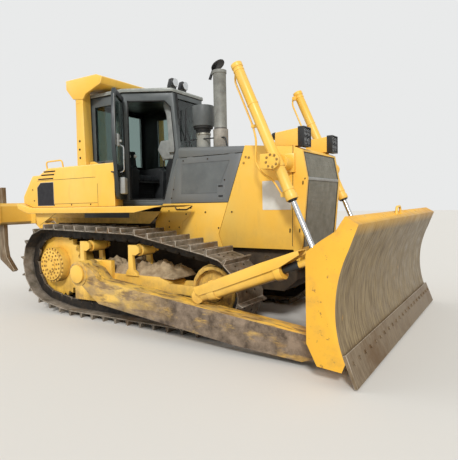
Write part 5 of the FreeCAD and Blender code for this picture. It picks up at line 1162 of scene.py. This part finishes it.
def arm_pin(side, sign):
    """Pin cap and its bolts on one push arm."""
    outer = (ARM_SIDE + 14) * sign
    drums("arm_pin_cap_" + side, [((1080, (ARM_SIDE - 10) * sign, 670), (1080, outer, 670), 0.066, 0.060)],
          "drive_yellow", 4, body="blade")
    fasteners("arm_pin_bolts_" + side, ring_places(1080, outer, 670, 42, 4, 0.6), 10, "dark_bolt", "blade")


def tilt_guard():
    """The side skirts of the tilt cylinder's stone guard, its lifting ring, and the rod's dark end."""
    foot = Vector((2850, 530))
    run = Vector((1327.7, 460)).normalized()
    rise = Vector((-run.y, run.x))
    outline = [tuple(foot + run * a + rise * b) for a, b in (
        (22, 98), (871, 122), (1284, 122), (1284, 84), (1050, 30), (300, 6), (60, 8), (22, 50))]

    def skirts(shape):
        for near, far in ((-95, -87), (87, 95)):
            plate(shape, outline, near - STRUT_SIDE, far - STRUT_SIDE)

    made("tilt_guard_skirts", skirts, "yellow_low", 3, body="blade")
    ends = [at(end.x, -STRUT_SIDE, end.y) for end in (foot + run * a for a in (1044, 1215))]
    made("tilt_rod_sleeve", lambda shape: collar(shape, *ends, 0.041, 0.0365), "black", 1.5, body="blade")
    angles = [2 * math.pi * index / 16 for index in range(17)]
    ring = [(3667 + 32 * math.cos(a), -STRUT_SIDE, 968 + 32 * math.sin(a)) for a in angles]
    pipe("lifting_ring", ring, 7, "dark_bolt", 4, "blade")


def edge_bolts():
    """Plough bolts along the cutting edge, standing a little proud of its worn face."""
    low, high = map(Vector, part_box("cutting_edge"))
    faces = bpy.data.objects["cutting_edge_finish"].data.polygons
    front = max((face for face in faces if face.normal.x > 0.3), key=lambda face: face.area)
    up = Vector((-front.normal.z, 0, front.normal.x))
    count, end_gap = 22, 0.09
    places = []
    for index in range(count):
        y = low.y + end_gap + (high.y - low.y - 2 * end_gap) * index / (count - 1)
        places.append((Vector((front.center.x, y, front.center.z)) + up * 0.045, front.normal.copy()))
    fasteners("edge_bolts", places, 16, "scoured", "blade")


# Ripper

class BULLDOZER_OT_ripper(bpy.types.Operator):
    """Ripper beam, links, cylinders and shanks"""
    bl_idname = "bulldozer.ripper"
    bl_label = "Ripper"

    def execute(self, context):
        dress(("ripper_bracket", "yellow_low", 4), ("ripper_link", "yellow_low", 4),
              ("ripper_upper_links", "yellow_low", 4), ("ripper_beam", "yellow", look().edge_break),
              ("ripper_shanks", "scoured", 5), ("ripper_barrels", "yellow", 3), ("ripper_rods", "chrome", 2))
        return {"FINISHED"}


# Stage

class BULLDOZER_OT_stage(bpy.types.Operator):
    """Floor, backdrop, lamps and the camera"""
    bl_idname = "bulldozer.stage"
    bl_label = "Stage"

    def execute(self, context):
        floor = mesh_object("studio_floor", new_mesh("studio_floor", lambda shape: bmesh.ops.create_grid(
            shape, x_segments=1, y_segments=1, size=60.0)))
        pale = Finish("pale floor")
        floor.data.materials.append(pale.shaded({"Base Color": (*look().floor_colour, 1.0), "Roughness": 0.9}))
        backdrop(context.scene)
        sun("key_lamp", 2.3, 10, (-0.42, 0.80, -0.62))
        sun("fill_lamp", 0.5, 40, (0.9, 0.3, -0.5))
        camera(context.scene)
        context.scene.view_settings.view_transform = "Standard"
        return {"FINISHED"}


def backdrop(scene):
    """Soft pale surroundings, seen a little greyer than they shine."""
    world = bpy.data.worlds.new("studio")
    world.use_nodes = True
    tree = world.node_tree
    tree.nodes.clear()
    light = add(tree, "ShaderNodeBackground", {"Color": linear("#FFFFFF"), "Strength": 0.62})
    seen = add(tree, "ShaderNodeBackground", {"Color": linear("#E9EAEA"), "Strength": 1.0})
    ray = add(tree, "ShaderNodeLightPath").outputs
    straight = reckon(tree, "MAXIMUM", ray["Is Camera Ray"], ray["Is Transmission Ray"])
    plainly = reckon(tree, "MAXIMUM", straight, ray["Is Glossy Ray"])
    pick = add(tree, "ShaderNodeMixShader", {0: plainly, 1: light.outputs[0], 2: seen.outputs[0]})
    add(tree, "ShaderNodeOutputWorld", {"Surface": pick.outputs[0]})
    scene.world = world


def sun(name, strength, spread, heading):
    lamp = bpy.data.lights.new(name, "SUN")
    lamp.energy = strength
    lamp.angle = math.radians(spread)
    piece = mesh_object(name, lamp)
    piece.rotation_mode = "QUATERNION"
    piece.rotation_quaternion = Vector(heading).to_track_quat("-Z", "Y")


def camera(scene):
    """The photograph's viewpoint: at eye height, before the machine's right front corner."""
    yaw, pitch, roll = (math.radians(angle) for angle in (32.347, -3.392, -1.178))
    ahead = Vector((-math.sin(yaw) * math.cos(pitch), math.cos(yaw) * math.cos(pitch), math.sin(pitch)))
    level = Vector((math.cos(yaw), math.sin(yaw), 0))
    up = level.cross(ahead)
    right = level * math.cos(roll) + up * math.sin(roll)
    top = up * math.cos(roll) - level * math.sin(roll)
    data = bpy.data.cameras.new("photo_camera")
    data.lens = 35.83
    data.sensor_width = 36.0
    data.clip_end = 500
    eye = mesh_object("photo_camera", data)
    turn = Matrix((right, top, -ahead)).transposed().to_4x4()
    eye.matrix_world = Matrix.Translation(at(5698, -5362, 1512)) @ turn
    scene.camera = eye


class BULLDOZER_PT_panel(bpy.types.Panel):
    """Buttons for each group of pieces"""
    bl_label = "Bulldozer"
    bl_idname = "BULLDOZER_PT_panel"
    bl_space_type = "VIEW_3D"
    bl_region_type = "UI"
    bl_category = "Bulldozer"

    def draw(self, context):
        for name in BulldozerLook.__annotations__:
            self.layout.prop(context.scene.bulldozer_look, name)
        for operator in OPERATORS:
            self.layout.operator(operator.bl_idname)


OPERATORS = (BULLDOZER_OT_undercarriage, BULLDOZER_OT_body, BULLDOZER_OT_cab, BULLDOZER_OT_blade,
             BULLDOZER_OT_ripper, BULLDOZER_OT_stage)


def register():
    for item in (BulldozerLook, *OPERATORS, BULLDOZER_PT_panel):
        bpy.utils.register_class(item)
    bpy.types.Scene.bulldozer_look = bpy.props.PointerProperty(type=BulldozerLook)


def unregister():
    del bpy.types.Scene.bulldozer_look
    for item in (BULLDOZER_PT_panel, *reversed(OPERATORS), BulldozerLook):
        bpy.utils.unregister_class(item)


def main():
    register()
    make_materials()
    for operator in OPERATORS:
        group, action = operator.bl_idname.split(".")
        getattr(getattr(bpy.ops, group), action)()


if __name__ == "__main__":
    main()
